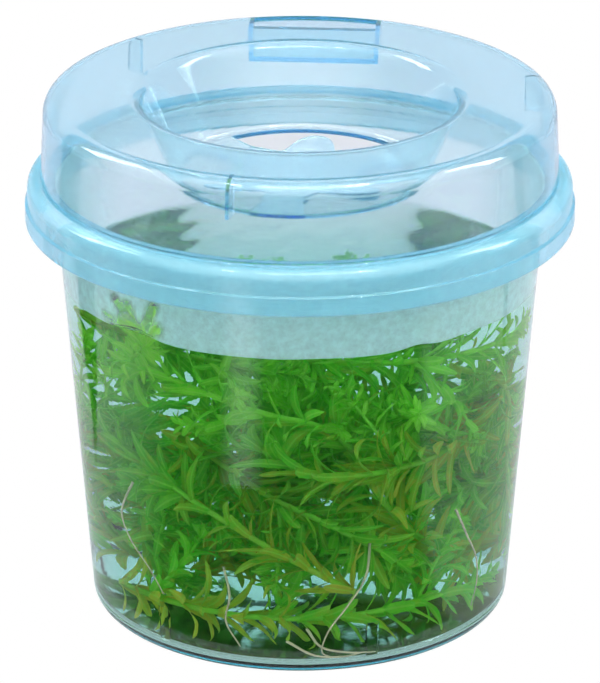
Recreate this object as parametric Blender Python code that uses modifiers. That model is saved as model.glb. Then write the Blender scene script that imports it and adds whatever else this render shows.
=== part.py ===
"""Brazilian waterweed, a tangle of shoots, in the round clear tub of water that holds it, with its lid on.

Metres, +Z up. The origin is on the surface that the tub stands on, on its axis. The front faces -Y.
Names ending in _MM are millimetres. An azimuth is in degrees from the front, positive towards +X.
"""

import math

import bmesh
import bpy
import numpy as np

MM = 0.001

# Driving sizes of the tub
TUB_SIDES = 56
WALL_MM = 1.5
FOOT_RADIUS_MM = 70.5
FOOT_ROUND_MM = 5.0
FOOT_RING_MM = (59.5, 65.5)
FOOT_RECESS_MM = 1.2
WALL_TOP_RADIUS_MM = 80.75
WALL_TOP_HEIGHT_MM = 133.9
RIM_TOP_MM = 149.9
RIM_REACH_MM = 88.8
RIM_LIP_BOTTOM_MM = 141.0
LUG_COUNT = 6
LUG_AZIMUTH_DEG = 20.0
LUG_WIDTH_MM = 4.0
LUG_RADIUS_MM = 68.2
LUG_TOP_MM = 17.5
LUG_SLOPE_MM = 3.0

# Driving sizes of the lid
LID_SIDES = 56
LID_TOP_MM = 178.9
DISH_RADIUS_MM = 53.9
DISH_FLOOR_RADIUS_MM = 42.0
DISH_FLOOR_TOP_MM = 152.4
SHOULDER_RADIUS_MM = 84.9
JUNCTION_RADIUS_MM = 86.2
JUNCTION_HEIGHT_MM = 151.4
SKIRT_RADIUS_MM = 91.5
SKIRT_STEP_MM = 0.8
SKIRT_BOTTOM_MM = 135.9
SKIRT_INSIDE_MM = 89.2
LEDGE_RADIUS_MM = 81.4
FIT_GAP_MM = 0.3
NOTCH_AZIMUTH_DEG = 176.0
NOTCH_WIDTH_MM = 42.0
NOTCH_CHORD_MM = 68.0
NOTCH_REACH_MM = 82.2
NOTCH_DEPTH_MM = 10.6
GUSSET_AZIMUTHS_DEG = (-16.0, 104.0, 224.0)
GUSSET_THICKNESS_MM = 1.2
GUSSET_DEPTH_MM = 6.6
GUSSET_HEIGHT_MM = 12.75
VENT_RING_MM = 39.5
VENT_CENTRES_DEG = (169.0, 49.0, 289.0)
VENT_HALF_ANGLE_DEG = 47.0
STAR_MEAN = 0.66
STAR_SWING = 0.18
STAR_POINTS = 6

# Driving sizes of the water
WATER_SIDES = 42
WATER_LEVEL_MM = 115.9
WATER_TOP_SLAB_MM = 3.6
WATER_WALL_MM = 2.2

# Driving sizes of the shoots
SHOOT_RADIUS_MM = 8.5
SHOOT_WAIST = 0.62
WHORL_STEP_MM = 22.0
ROUTE_STEP_MM = 6.0
ROUTE_POINTS = 48
SPACING_MM = 16.5
SETTLE_ROUNDS = 260
WALL_CLEARANCE_MM = 0.6
NEIGHBOUR_CLEARANCE_MM = 0.7
LEAST_RADIUS_MM = 3.2

# Each shoot's route from its cut end to its growing tip: azimuths in degrees, radii and heights in
# millimetres at its two ends, and how far it bows up and outwards between them.
SHOOT_ROUTES = (
    ((74, -46), (56, 66), (20, 109), (14, 6)),
    ((-160, -62), (58, 62), (44, 18), (4, 8)),
    ((-52, 66), (63, 60), (12, 26), (-4, 10)),
    ((84, -24), (60, 60), (84, 100), (-26, 12)),
    ((136, 34), (60, 56), (18, 86), (-10, 10)),
    ((-44, 28), (36, 62), (72, 38), (8, 16)),
    ((-118, -76), (60, 62), (12, 106), (4, 6)),
    ((62, 96), (62, 62), (106, 14), (0, 4)),
    ((184, 118), (60, 60), (12, 46), (8, 6)),
    ((-176, -92), (62, 60), (24, 56), (4, 10)),
    ((-104, -10), (26, 44), (90, 74), (0, 6)),
    ((-66, 78), (34, 36), (14, 104), (0, -20)),
    ((36, -166), (32, 34), (102, 16), (4, -16)),
    ((176, -16), (34, 30), (34, 100), (0, -14)),
    ((-116, 66), (26, 40), (58, 18), (-10, -14)),
    ((106, -126), (38, 38), (56, 48), (8, -20)),
    ((-8, 76), (54, 62), (108, 104), (-4, 6)),
    ((-88, -10), (54, 60), (106, 108), (-2, 8)),
    ((132, 238), (54, 60), (11, 13), (2, 8)),
    ((16, -66), (62, 62), (28, 68), (6, 6)),
    ((36, 104), (62, 62), (60, 40), (-10, 6)),
    ((214, 136), (62, 60), (34, 44), (4, 8)),
)


def clear_scene():
    """Takes every object out of the open file."""
    for item in list(bpy.data.objects):
        bpy.data.objects.remove(item, do_unlink=True)


def make_collection(name):
    """A new collection in the scene."""
    collection = bpy.data.collections.new(name)
    bpy.context.scene.collection.children.link(collection)
    return collection


def make_material(name, colour, roughness, transmission=0.0, ior=1.45):
    """A plain Principled material."""
    material = bpy.data.materials.new(name)
    material.use_nodes = True
    shader = material.node_tree.nodes["Principled BSDF"]
    shader.inputs["Base Color"].default_value = (*colour, 1.0)
    shader.inputs["Roughness"].default_value = roughness
    shader.inputs["Metallic"].default_value = 0.0
    shader.inputs["Transmission Weight"].default_value = transmission
    shader.inputs["IOR"].default_value = ior
    return material


def add_object(name, data, collection, material=None):
    """Puts a mesh or curve in the scene as an object."""
    item = bpy.data.objects.new(name, data)
    collection.objects.link(item)
    if material is not None:
        data.materials.append(material)
    return item


def turned(name, profile_mm, sides, collection, material=None):
    """A turned solid. The profile runs from the axis, out and down, back to the axis."""
    mesh = bpy.data.meshes.new(name)
    points = [(radius * MM, 0.0, height * MM) for radius, height in profile_mm]
    edges = [(at, at + 1) for at in range(len(points) - 1)]
    mesh.from_pydata(points, edges, [])
    item = add_object(name, mesh, collection, material)
    screw = item.modifiers.new("Turn", "SCREW")
    screw.axis = "Z"
    screw.angle = 2.0 * math.pi
    screw.steps = sides
    screw.render_steps = sides
    screw.use_merge_vertices = True
    screw.merge_threshold = 0.00001
    screw.use_smooth_shade = False
    return item


def block(name, size_mm, collection):
    """A box on the origin, with its size in its mesh."""
    mesh = bpy.data.meshes.new(name)
    shape = bmesh.new()
    bmesh.ops.create_cube(shape, size=1.0)
    bmesh.ops.scale(shape, vec=[side * MM for side in size_mm], verts=shape.verts)
    shape.to_mesh(mesh)
    shape.free()
    return add_object(name, mesh, collection)


def prism(name, outline_mm, thickness_mm, collection):
    """A flat outline with a thickness, centred on its own plane, as a mesh."""
    curve = bpy.data.curves.new(name, "CURVE")
    curve.dimensions = "2D"
    curve.fill_mode = "BOTH"
    curve.extrude = thickness_mm * MM / 2.0
    spline = curve.splines.new("POLY")
    spline.points.add(len(outline_mm) - 1)
    for point, (x, y) in zip(spline.points, outline_mm):
        point.co = (x * MM, y * MM, 0.0, 1.0)
    spline.use_cyclic_u = True
    outline = add_object(name, curve, collection)
    evaluated = outline.evaluated_get(bpy.context.evaluated_depsgraph_get())
    mesh = bpy.data.meshes.new_from_object(evaluated)
    bpy.data.objects.remove(outline, do_unlink=True)
    shape = bmesh.new()
    shape.from_mesh(mesh)
    bmesh.ops.remove_doubles(shape, verts=shape.verts, dist=0.000001)
    bmesh.ops.recalc_face_normals(shape, faces=shape.faces)
    shape.to_mesh(mesh)
    shape.free()
    mesh.name = name
    return add_object(name, mesh, collection)


def place(item, azimuth_deg, radius_mm, height_mm):
    """Moves a shape out along an azimuth, with its own -Y facing away from the axis."""
    angle = math.radians(azimuth_deg)
    item.location = (
        radius_mm * MM * math.sin(angle),
        -radius_mm * MM * math.cos(angle),
        height_mm * MM,
    )
    item.rotation_euler = (0.0, 0.0, angle)


def web(name, section_mm, thickness_mm, azimuth_deg, collection):
    """A flat web that stands on an azimuth. Its section is a list of radii and heights."""
    item = prism(name, section_mm, thickness_mm, collection)
    item.rotation_euler = (math.pi / 2.0, 0.0, math.radians(azimuth_deg - 90.0))
    return item


def as_guide(item):
    """Marks a shape that only cuts or joins others."""
    item.hide_render = True
    item.display_type = "WIRE"


def combine(item, other, operation):
    """Adds a Boolean of another object."""
    boolean = item.modifiers.new(f"{operation.title()} {other.name}", "BOOLEAN")
    boolean.object = other
    boolean.operation = operation
    boolean.solver = "EXACT"
    as_guide(other)


def tub_wall_radius(height_mm):
    """Outer radius of the tub's tapered wall at a height, in millimetres."""
    share = (height_mm - FOOT_ROUND_MM) / (WALL_TOP_HEIGHT_MM - FOOT_ROUND_MM)
    return FOOT_RADIUS_MM + share * (WALL_TOP_RADIUS_MM - FOOT_RADIUS_MM)


def tub_profile():
    """The tub's section: up the inside from the floor, over the rim, and down the outside."""
    floor_top = FOOT_RECESS_MM + WALL_MM + 0.1
    under_rim = RIM_TOP_MM - WALL_MM
    inside_rim = tub_wall_radius(RIM_TOP_MM) - WALL_MM
    foot_round = FOOT_RADIUS_MM - FOOT_ROUND_MM
    ring_in, ring_out = FOOT_RING_MM
    return [
        (0.0, floor_top),
        (foot_round - 0.7, floor_top),
        (foot_round + 2.2, floor_top + 1.2),
        (FOOT_RADIUS_MM - WALL_MM, floor_top + 3.9),
        (inside_rim, RIM_TOP_MM),
        (RIM_REACH_MM - 4.3, RIM_TOP_MM),
        (RIM_REACH_MM - 1.3, RIM_TOP_MM - 1.4),
        (RIM_REACH_MM, RIM_TOP_MM - 3.8),
        (RIM_REACH_MM, RIM_LIP_BOTTOM_MM),
        (RIM_REACH_MM - WALL_MM, RIM_LIP_BOTTOM_MM),
        (RIM_REACH_MM - WALL_MM, RIM_TOP_MM - 3.8),
        (RIM_REACH_MM - 4.6, under_rim),
        (tub_wall_radius(under_rim), under_rim),
        (FOOT_RADIUS_MM, FOOT_ROUND_MM),
        (foot_round + 3.5, 1.5),
        (ring_out, 0.0),
        (ring_in, 0.0),
        (ring_in - 1.0, FOOT_RECESS_MM),
        (0.0, FOOT_RECESS_MM),
    ]


def lug_section():
    """Section of a stacking lug: a short web up the inside of the wall, with a sloping top."""
    in_wall = LUG_RADIUS_MM + 2.0
    foot = FOOT_ROUND_MM - 0.2
    return [
        (LUG_RADIUS_MM, foot),
        (in_wall, foot),
        (in_wall, LUG_TOP_MM),
        (in_wall - 0.3, LUG_TOP_MM),
        (LUG_RADIUS_MM, LUG_TOP_MM - LUG_SLOPE_MM),
    ]


def build_tub(collection, guides, material):
    """The tub: a turned shell with six short stacking lugs round the inside of its foot."""
    tub = turned("tub", tub_profile(), TUB_SIDES, collection, material)
    for number in range(LUG_COUNT):
        azimuth = LUG_AZIMUTH_DEG + 360.0 * number / LUG_COUNT
        lug = web(f"lug_{number + 1}", lug_section(), LUG_WIDTH_MM, azimuth, guides)
        combine(tub, lug, "UNION")
    return tub


def lid_outside():
    """The lid's outer form: the dish, the top, the dome wall and the skirt's two rings."""
    ring_one = SKIRT_RADIUS_MM - SKIRT_STEP_MM
    return [
        (0.0, DISH_FLOOR_TOP_MM),
        (DISH_FLOOR_RADIUS_MM - 1.5, DISH_FLOOR_TOP_MM),
        (DISH_FLOOR_RADIUS_MM, DISH_FLOOR_TOP_MM + 1.2),
        (DISH_FLOOR_RADIUS_MM + 5.6, DISH_FLOOR_TOP_MM + 13.1),
        (DISH_RADIUS_MM - 1.5, LID_TOP_MM - 1.7),
        (DISH_RADIUS_MM, LID_TOP_MM),
        (SHOULDER_RADIUS_MM - 3.1, LID_TOP_MM),
        (SHOULDER_RADIUS_MM - 1.0, LID_TOP_MM - 0.8),
        (SHOULDER_RADIUS_MM, LID_TOP_MM - 2.7),
        (JUNCTION_RADIUS_MM, JUNCTION_HEIGHT_MM),
        (JUNCTION_RADIUS_MM + 2.4, JUNCTION_HEIGHT_MM - 1.0),
        (ring_one - 0.4, JUNCTION_HEIGHT_MM - 2.8),
        (ring_one, JUNCTION_HEIGHT_MM - 4.8),
        (ring_one, SKIRT_BOTTOM_MM + 7.1),
        (SKIRT_RADIUS_MM, SKIRT_BOTTOM_MM + 6.3),
        (SKIRT_RADIUS_MM, SKIRT_BOTTOM_MM + 1.5),
        (SKIRT_RADIUS_MM - 1.5, SKIRT_BOTTOM_MM),
        (0.0, SKIRT_BOTTOM_MM),
    ]


def lid_inside():
    """The air under the lid, as a form that is cut out of it. It ends below the skirt."""
    underside = DISH_FLOOR_TOP_MM - WALL_MM
    ledge_under = RIM_TOP_MM + FIT_GAP_MM
    below_skirt = SKIRT_BOTTOM_MM - 6.0
    return [
        (0.0, underside),
        (DISH_FLOOR_RADIUS_MM - 0.9, underside),
        (DISH_FLOOR_RADIUS_MM + 1.4, DISH_FLOOR_TOP_MM + 0.6),
        (DISH_FLOOR_RADIUS_MM + 7.0, DISH_FLOOR_TOP_MM + 12.5),
        (DISH_RADIUS_MM - 0.1, LID_TOP_MM - 2.3),
        (DISH_RADIUS_MM + 1.0, LID_TOP_MM - WALL_MM),
        (SHOULDER_RADIUS_MM - 3.3, LID_TOP_MM - WALL_MM),
        (SHOULDER_RADIUS_MM - WALL_MM, LID_TOP_MM - 3.3),
        (JUNCTION_RADIUS_MM - WALL_MM, ledge_under + WALL_MM),
        (LEDGE_RADIUS_MM, ledge_under + WALL_MM),
        (LEDGE_RADIUS_MM, ledge_under),
        (RIM_REACH_MM - 4.2, ledge_under),
        (RIM_REACH_MM - 1.1, ledge_under - 1.4),
        (SKIRT_INSIDE_MM, ledge_under - 3.9),
        (SKIRT_INSIDE_MM, below_skirt),
        (0.0, below_skirt),
    ]


def notch_block(name, grown_mm, guides):
    """The finger notch's space, sunk in the lid's top at the back, or the same space grown by a wall."""
    outward = 30.0
    upward = 10.0
    width = NOTCH_WIDTH_MM + 2.0 * grown_mm
    depth = outward + grown_mm
    height = NOTCH_DEPTH_MM + upward + grown_mm
    item = block(name, (width, depth, height), guides)
    middle_out = NOTCH_CHORD_MM - grown_mm + depth / 2.0
    middle_up = LID_TOP_MM - NOTCH_DEPTH_MM - grown_mm + height / 2.0
    place(item, NOTCH_AZIMUTH_DEG, middle_out, middle_up)
    return item


def vent_outline(centre_deg):
    """One opening between two arms of the star floor: in along the star, and back round the ring."""
    inner = []
    steps = 12
    for step in range(steps + 1):
        offset = VENT_HALF_ANGLE_DEG * (2.0 * step / steps - 1.0)
        wave = math.cos(math.radians(STAR_POINTS * offset))
        inner.append((VENT_RING_MM * (STAR_MEAN + STAR_SWING * wave), centre_deg + offset))
    outer = []
    arc_steps = 8
    for step in range(arc_steps + 1):
        offset = VENT_HALF_ANGLE_DEG * (1.0 - 2.0 * step / arc_steps)
        outer.append((VENT_RING_MM, centre_deg + offset))
    return [
        (radius * math.sin(math.radians(azimuth)), -radius * math.cos(math.radians(azimuth)))
        for radius, azimuth in inner + outer
    ]


def gusset_section():
    """Section of a thin four-sided web between the lid's top and its dome wall."""
    in_wall = SHOULDER_RADIUS_MM + 0.25
    inner_end = SHOULDER_RADIUS_MM - 0.5 * WALL_MM - GUSSET_DEPTH_MM
    in_top = LID_TOP_MM - 0.5 * WALL_MM
    foot = in_top - GUSSET_HEIGHT_MM
    return [(inner_end, in_top), (inner_end, foot), (in_wall, foot), (in_wall, in_top)]


def build_lid(collection, guides, material):
    """The lid: the outer form less the notch, the air under it and the vents in the dish floor."""
    lid = turned("lid", lid_outside(), LID_SIDES, collection, material)
    notch = notch_block("notch", 0.0, guides)
    notch_top = LID_TOP_MM + 2.0 * NOTCH_DEPTH_MM
    notch_foot = LID_TOP_MM - 2.0 * NOTCH_DEPTH_MM
    disc = [(0.0, notch_top), (NOTCH_REACH_MM, notch_top), (NOTCH_REACH_MM, notch_foot), (0.0, notch_foot)]
    combine(notch, turned("notch_reach", disc, LID_SIDES, guides), "INTERSECT")
    combine(lid, notch, "DIFFERENCE")
    air = turned("air_under_lid", lid_inside(), LID_SIDES, guides)
    combine(air, notch_block("notch_wall", WALL_MM, guides), "DIFFERENCE")
    for number, azimuth in enumerate(GUSSET_AZIMUTHS_DEG):
        gusset = web(f"gusset_{number + 1}", gusset_section(), GUSSET_THICKNESS_MM, azimuth, guides)
        combine(air, gusset, "DIFFERENCE")
    combine(lid, air, "DIFFERENCE")
    for number, centre in enumerate(VENT_CENTRES_DEG):
        vent = prism(f"vent_{number + 1}", vent_outline(centre), 10.0, guides)
        vent.location = (0.0, 0.0, DISH_FLOOR_TOP_MM * MM)
        combine(lid, vent, "DIFFERENCE")
    return lid


def water_radius(height_mm):
    """Radius of the water at a height: the tub's inside less the fit gap."""
    return tub_wall_radius(height_mm) - WALL_MM - FIT_GAP_MM


def water_floor():
    """Height of the water's underside, in millimetres."""
    return FOOT_RECESS_MM + WALL_MM + 0.1 + FIT_GAP_MM


def build_water(collection, material):
    """The water, parted in two so that the shoots lie in its pocket: a deep cup and a thin top slab."""
    slab_under = WATER_LEVEL_MM - WATER_TOP_SLAB_MM
    cup_top = slab_under - FIT_GAP_MM
    floor = water_floor()
    foot_round = FOOT_RADIUS_MM - FOOT_ROUND_MM
    cup = [
        (0.0, floor + WATER_WALL_MM),
        (foot_round - 1.4, floor + WATER_WALL_MM),
        (water_radius(floor + 6.0) - WATER_WALL_MM, floor + 6.0),
        (water_radius(cup_top) - WATER_WALL_MM, cup_top),
        (water_radius(cup_top), cup_top),
        (water_radius(LUG_TOP_MM), LUG_TOP_MM),
        (LUG_RADIUS_MM - FIT_GAP_MM, LUG_TOP_MM - LUG_SLOPE_MM),
        (LUG_RADIUS_MM - FIT_GAP_MM, floor + 4.0),
        (foot_round + 1.2, floor + 1.2),
        (foot_round - 1.2, floor),
        (0.0, floor),
    ]
    slab = [
        (0.0, WATER_LEVEL_MM),
        (water_radius(WATER_LEVEL_MM), WATER_LEVEL_MM),
        (water_radius(slab_under), slab_under),
        (0.0, slab_under),
    ]
    turned("water", cup, WATER_SIDES, collection, material)
    turned("water_surface", slab, WATER_SIDES, collection, material)


def pocket_limits():
    """Lowest and highest height of the water's pocket."""
    low = water_floor() + WATER_WALL_MM
    high = WATER_LEVEL_MM - WATER_TOP_SLAB_MM - FIT_GAP_MM
    return low, high


def pocket_radius(heights):
    """Inner radius of the water's pocket at each height. Near the floor it follows the rounded foot."""
    low, _ = pocket_limits()
    rounding = np.clip((heights - low) / 6.0, 0.0, 1.0)
    plain = tub_wall_radius(heights) - WALL_MM - FIT_GAP_MM - WATER_WALL_MM
    return plain - 3.0 * (1.0 - rounding)


def first_route(azimuths, radii, heights, bow):
    """A shoot's route before it has settled, as points at an even step."""
    share = np.linspace(0.0, 1.0, ROUTE_POINTS)
    swell = np.sin(math.pi * share)
    azimuth = np.radians(azimuths[0] + (azimuths[1] - azimuths[0]) * share)
    radius = radii[0] + (radii[1] - radii[0]) * share + bow[1] * swell
    height = heights[0] + (heights[1] - heights[0]) * share + bow[0] * swell
    line = np.stack([radius * np.sin(azimuth), -radius * np.cos(azimuth), height], axis=1)
    along = np.concatenate([[0.0], np.cumsum(np.linalg.norm(np.diff(line, axis=0), axis=1))])
    count = int(along[-1] / ROUTE_STEP_MM) + 1
    marks = np.arange(count) * ROUTE_STEP_MM
    return np.stack([np.interp(marks, along, line[:, axis]) for axis in range(3)], axis=1)


def keep_in_pocket(points):
    """Moves points that are too near the pocket's wall, floor or top back inside."""
    margin = SHOOT_RADIUS_MM + WALL_CLEARANCE_MM
    low, high = pocket_limits()
    points[:, 2] = np.clip(points[:, 2], low + margin, high - margin)
    reach = np.hypot(points[:, 0], points[:, 1])
    limit = pocket_radius(points[:, 2]) - margin
    shrink = np.minimum(1.0, limit / np.maximum(reach, 0.001))
    points[:, :2] *= shrink[:, None]


def settled_routes():
    """The shoots' routes after they have pushed each other apart, each as an array of points."""
    routes = [first_route(*row) for row in SHOOT_ROUTES]
    owner = np.concatenate([np.full(len(route), at) for at, route in enumerate(routes)])
    order = np.concatenate([np.arange(len(route)) for route in routes])
    points = np.concatenate(routes)
    same = owner[:, None] == owner[None, :]
    near_along = np.abs(order[:, None] - order[None, :]) * ROUTE_STEP_MM < 2.2 * SPACING_MM
    ignored = same & near_along
    linked = owner[1:] == owner[:-1]
    inner = np.zeros(len(points), dtype=bool)
    inner[1:-1] = linked[1:] & linked[:-1]
    at_inner = np.nonzero(inner)[0]
    at_link = np.nonzero(linked)[0]
    for _ in range(SETTLE_ROUNDS):
        apart = points[:, None, :] - points[None, :, :]
        distance = np.sqrt((apart * apart).sum(axis=2)) + 0.001
        overlap = np.where(ignored, 0.0, np.maximum(0.0, SPACING_MM - distance))
        points += 0.22 * ((overlap / distance)[:, :, None] * apart).sum(axis=1)
        middle = 0.5 * (points[at_inner - 1] + points[at_inner + 1])
        points[at_inner] += 0.3 * (middle - points[at_inner])
        for _ in range(4):
            link = points[at_link + 1] - points[at_link]
            length = np.sqrt((link * link).sum(axis=1))[:, None]
            move = 0.25 * link * (1.0 - ROUTE_STEP_MM / length)
            np.add.at(points, at_link, move)
            np.add.at(points, at_link + 1, -move)
        keep_in_pocket(points)
    return [points[owner == at] for at in range(len(routes))]


def room_round(routes):
    """How wide each shoot may be at each of its points before it meets another shoot or the wall."""
    points = np.concatenate(routes)
    owner = np.concatenate([np.full(len(route), at) for at, route in enumerate(routes)])
    low, high = pocket_limits()
    rooms = []
    for at, route in enumerate(routes):
        others = points[owner != at]
        apart = route[:, None, :] - others[None, :, :]
        nearest = np.sqrt((apart * apart).sum(axis=2)).min(axis=1)
        half_step = 0.5 * ROUTE_STEP_MM
        clear = np.sqrt(np.maximum(nearest**2 - 2.0 * half_step**2, 0.0))
        room = 0.5 * (clear - NEIGHBOUR_CLEARANCE_MM)
        reach = np.hypot(route[:, 0], route[:, 1])
        wall = pocket_radius(route[:, 2]) - reach - WALL_CLEARANCE_MM
        room = np.minimum(room, wall)
        room = np.minimum(room, route[:, 2] - low - WALL_CLEARANCE_MM)
        room = np.minimum(room, high - route[:, 2] - WALL_CLEARANCE_MM)
        rooms.append(np.minimum(room, SHOOT_RADIUS_MM))
    return rooms


def whorl_marks(length_mm):
    """Places along a shoot where its outline turns, with the share of the full width at each.

    Each whorl of leaves is a flared ring: narrow where the leaves leave the stem, wide at their tips.
    """
    count = max(3, round(length_mm / WHORL_STEP_MM))
    step = length_mm / count
    marks = [(0.0, 0.5)]
    for whorl in range(count):
        start = whorl * step
        if whorl > 0:
            marks.append((start + 0.12 * step, SHOOT_WAIST))
        marks.append((start + 0.8 * step, 1.0))
    marks.append((length_mm, 0.35))
    return marks


def build_shoot(name, route, room, collection, material):
    """One shoot: a tube along its route whose width steps in and out with its whorls of leaves."""
    along = np.arange(len(route)) * ROUTE_STEP_MM
    marks = whorl_marks(along[-1])
    curve = bpy.data.curves.new(name, "CURVE")
    curve.dimensions = "3D"
    curve.bevel_depth = MM
    curve.bevel_resolution = 1
    curve.use_fill_caps = True
    spline = curve.splines.new("POLY")
    spline.points.add(len(marks) - 1)
    reach = ROUTE_STEP_MM
    for point, (mark, share) in zip(spline.points, marks):
        place_mm = [float(np.interp(mark, along, route[:, axis])) for axis in range(3)]
        near = np.abs(along - mark) <= reach
        width = max(LEAST_RADIUS_MM, float(room[near].min()))
        point.co = (*[value * MM for value in place_mm], 1.0)
        point.radius = width * share
    item = add_object(name, curve, collection, material)
    weld = item.modifiers.new("Join caps", "WELD")
    weld.merge_threshold = 0.00001
    return item


def build_shoots(collection, materials):
    """Every shoot, a node of its own."""
    routes = settled_routes()
    rooms = room_round(routes)
    for number, (route, room) in enumerate(zip(routes, rooms)):
        material = materials[number % len(materials)]
        build_shoot(f"shoot_{number + 1:02d}", route, room, collection, material)


def main():
    clear_scene()
    parts = make_collection("waterweed_tub")
    guides = make_collection("cutters")
    clear_plastic = make_material("clear plastic, pale blue", (0.72, 0.88, 0.93), 0.05, 1.0, 1.49)
    blue_plastic = make_material("clear plastic, sky blue", (0.36, 0.78, 0.95), 0.06, 1.0, 1.49)
    water = make_material("water", (0.86, 0.95, 0.94), 0.0, 1.0, 1.333)
    young_leaf = make_material("young waterweed leaf", (0.10, 0.36, 0.05), 0.45)
    old_leaf = make_material("older waterweed leaf", (0.07, 0.22, 0.04), 0.5)
    build_tub(parts, guides, clear_plastic)
    build_lid(parts, guides, blue_plastic)
    build_water(parts, water)
    build_shoots(parts, (young_leaf, old_leaf))


main()
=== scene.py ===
"""Looks of the brazilian waterweed in its lidded tub of water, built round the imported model.

Metres, +Z up, and the front faces -Y. Names ending in _MM are millimetres. An azimuth is in degrees from
the front, positive towards +X.
"""

import math

import bmesh
import bpy
import numpy as np
from bpy.props import FloatProperty, FloatVectorProperty, IntProperty, PointerProperty
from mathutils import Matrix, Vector


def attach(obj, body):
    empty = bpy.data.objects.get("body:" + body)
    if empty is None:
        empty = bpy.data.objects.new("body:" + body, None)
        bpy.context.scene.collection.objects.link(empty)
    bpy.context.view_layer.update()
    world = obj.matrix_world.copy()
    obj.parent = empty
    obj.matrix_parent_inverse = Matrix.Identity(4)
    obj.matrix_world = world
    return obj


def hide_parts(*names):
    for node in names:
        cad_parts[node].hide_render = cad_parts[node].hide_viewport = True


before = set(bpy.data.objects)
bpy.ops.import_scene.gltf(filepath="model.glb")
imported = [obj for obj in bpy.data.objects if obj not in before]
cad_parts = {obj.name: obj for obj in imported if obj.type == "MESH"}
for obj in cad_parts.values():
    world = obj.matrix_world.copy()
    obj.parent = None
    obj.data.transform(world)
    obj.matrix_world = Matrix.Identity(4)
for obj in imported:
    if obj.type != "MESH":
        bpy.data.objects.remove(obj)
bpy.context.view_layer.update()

bl_info = {
    "name": "Waterweed tub",
    "version": (1, 0, 0),
    "blender": (4, 5, 0),
    "location": "View3D > Sidebar > Waterweed",
    "description": "Builds a tangle of brazilian waterweed in a clear lidded tub of water",
    "category": "Object",
}

MM = 0.001

# Tub, as in the frame
WALL_MM = 1.5
FOOT_RADIUS_MM = 70.5
FOOT_ROUND_MM = 5.0
FOOT_RING_MM = (59.5, 65.5)
FOOT_RECESS_MM = 1.2
FLOOR_TOP_MM = FOOT_RECESS_MM + WALL_MM + 0.1
FLOOR_FILLET_MM = 4.6
WALL_TOP_RADIUS_MM = 80.75
WALL_TOP_HEIGHT_MM = 133.9
RIM_TOP_MM = 149.9
RIM_REACH_MM = 88.8
RIM_LIP_BOTTOM_MM = 141.0
LUG_COUNT = 6
LUG_AZIMUTH_DEG = 20.0
LUG_WIDTH_MM = 4.0
LUG_RADIUS_MM = 68.2
LUG_TOP_MM = 17.5
LUG_SLOPE_MM = 3.0

# Lid, as in the frame
LID_TOP_MM = 178.9
DISH_RADIUS_MM = 53.9
DISH_FLOOR_RADIUS_MM = 42.0
DISH_FLOOR_TOP_MM = 152.4
SHOULDER_RADIUS_MM = 84.9
JUNCTION_RADIUS_MM = 86.2
JUNCTION_HEIGHT_MM = 151.4
SKIRT_RADIUS_MM = 91.5
SKIRT_STEP_MM = 0.8
SKIRT_BOTTOM_MM = 135.9
SKIRT_INSIDE_MM = 89.2
LEDGE_RADIUS_MM = 81.4
FIT_GAP_MM = 0.3
NOTCH_AZIMUTH_DEG = 176.0
NOTCH_WIDTH_MM = 42.0
NOTCH_CHORD_MM = 68.0
NOTCH_REACH_MM = 82.2
NOTCH_DEPTH_MM = 10.6
GUSSET_AZIMUTHS_DEG = (-16.0, 104.0, 224.0)
GUSSET_THICKNESS_MM = 1.2
GUSSET_DEPTH_MM = 6.6
GUSSET_HEIGHT_MM = 12.75
VENT_RING_MM = 39.5
VENT_CENTRES_DEG = (169.0, 49.0, 289.0)
VENT_HALF_ANGLE_DEG = 47.0
STAR_MEAN = 0.66
STAR_SWING = 0.18
STAR_POINTS = 6

# Water, as in the frame
WATER_LEVEL_MM = 115.9
WATER_TOP_SLAB_MM = 3.6
WATER_WALL_MM = 2.2
WATER_SIDES = 168

# Places where leaves that touch the wall pull the water up it: azimuth, width of the pull in degrees
# and its height in millimetres
PULLED_EDGE = (
    (-43.0, 6.0, 2.0),
    (29.0, 4.5, 1.3),
    (44.0, 9.0, 0.7),
    (-128.0, 7.0, 1.2),
    (151.0, 9.0, 0.9),
    (96.0, 5.0, 0.8),
)

# Routes of the shoots, as in the frame
SHOOT_RADIUS_MM = 8.5
EMPTY_ABOVE_MM = 68.0
ROUTE_STEP_MM = 6.0
ROUTE_POINTS = 48
SPACING_MM = 16.5
SETTLE_ROUNDS = 260
WALL_CLEARANCE_MM = 0.6

# Each shoot's route from its cut end to its growing tip: azimuths in degrees, radii and heights in
# millimetres at its two ends, and how far it bows up and outwards between them.
SHOOT_ROUTES = (
    ((74, -46), (56, 66), (20, 109), (14, 6)),
    ((-160, -62), (58, 62), (44, 18), (4, 8)),
    ((-52, 66), (63, 60), (12, 26), (-4, 10)),
    ((84, -24), (60, 60), (84, 100), (-26, 12)),
    ((136, 34), (60, 56), (18, 86), (-10, 10)),
    ((-44, 28), (36, 62), (72, 38), (8, 16)),
    ((-118, -76), (60, 62), (12, 106), (4, 6)),
    ((62, 96), (62, 62), (106, 14), (0, 4)),
    ((184, 118), (60, 60), (12, 46), (8, 6)),
    ((-176, -92), (62, 60), (24, 56), (4, 10)),
    ((-104, -10), (26, 44), (90, 74), (0, 6)),
    ((-66, 78), (34, 36), (14, 104), (0, -20)),
    ((36, -166), (32, 34), (102, 16), (4, -16)),
    ((176, -16), (34, 30), (34, 100), (0, -14)),
    ((-116, 66), (26, 40), (58, 18), (-10, -14)),
    ((106, -126), (38, 38), (56, 48), (8, -20)),
    ((-8, 76), (54, 62), (108, 104), (-4, 6)),
    ((-88, -10), (54, 60), (106, 108), (-2, 8)),
    ((132, 238), (54, 60), (11, 13), (2, 8)),
    ((16, -66), (62, 62), (28, 68), (6, 6)),
    ((36, 104), (62, 62), (60, 40), (-10, 6)),
    ((214, 136), (62, 60), (34, 44), (4, 8)),
)

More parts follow.
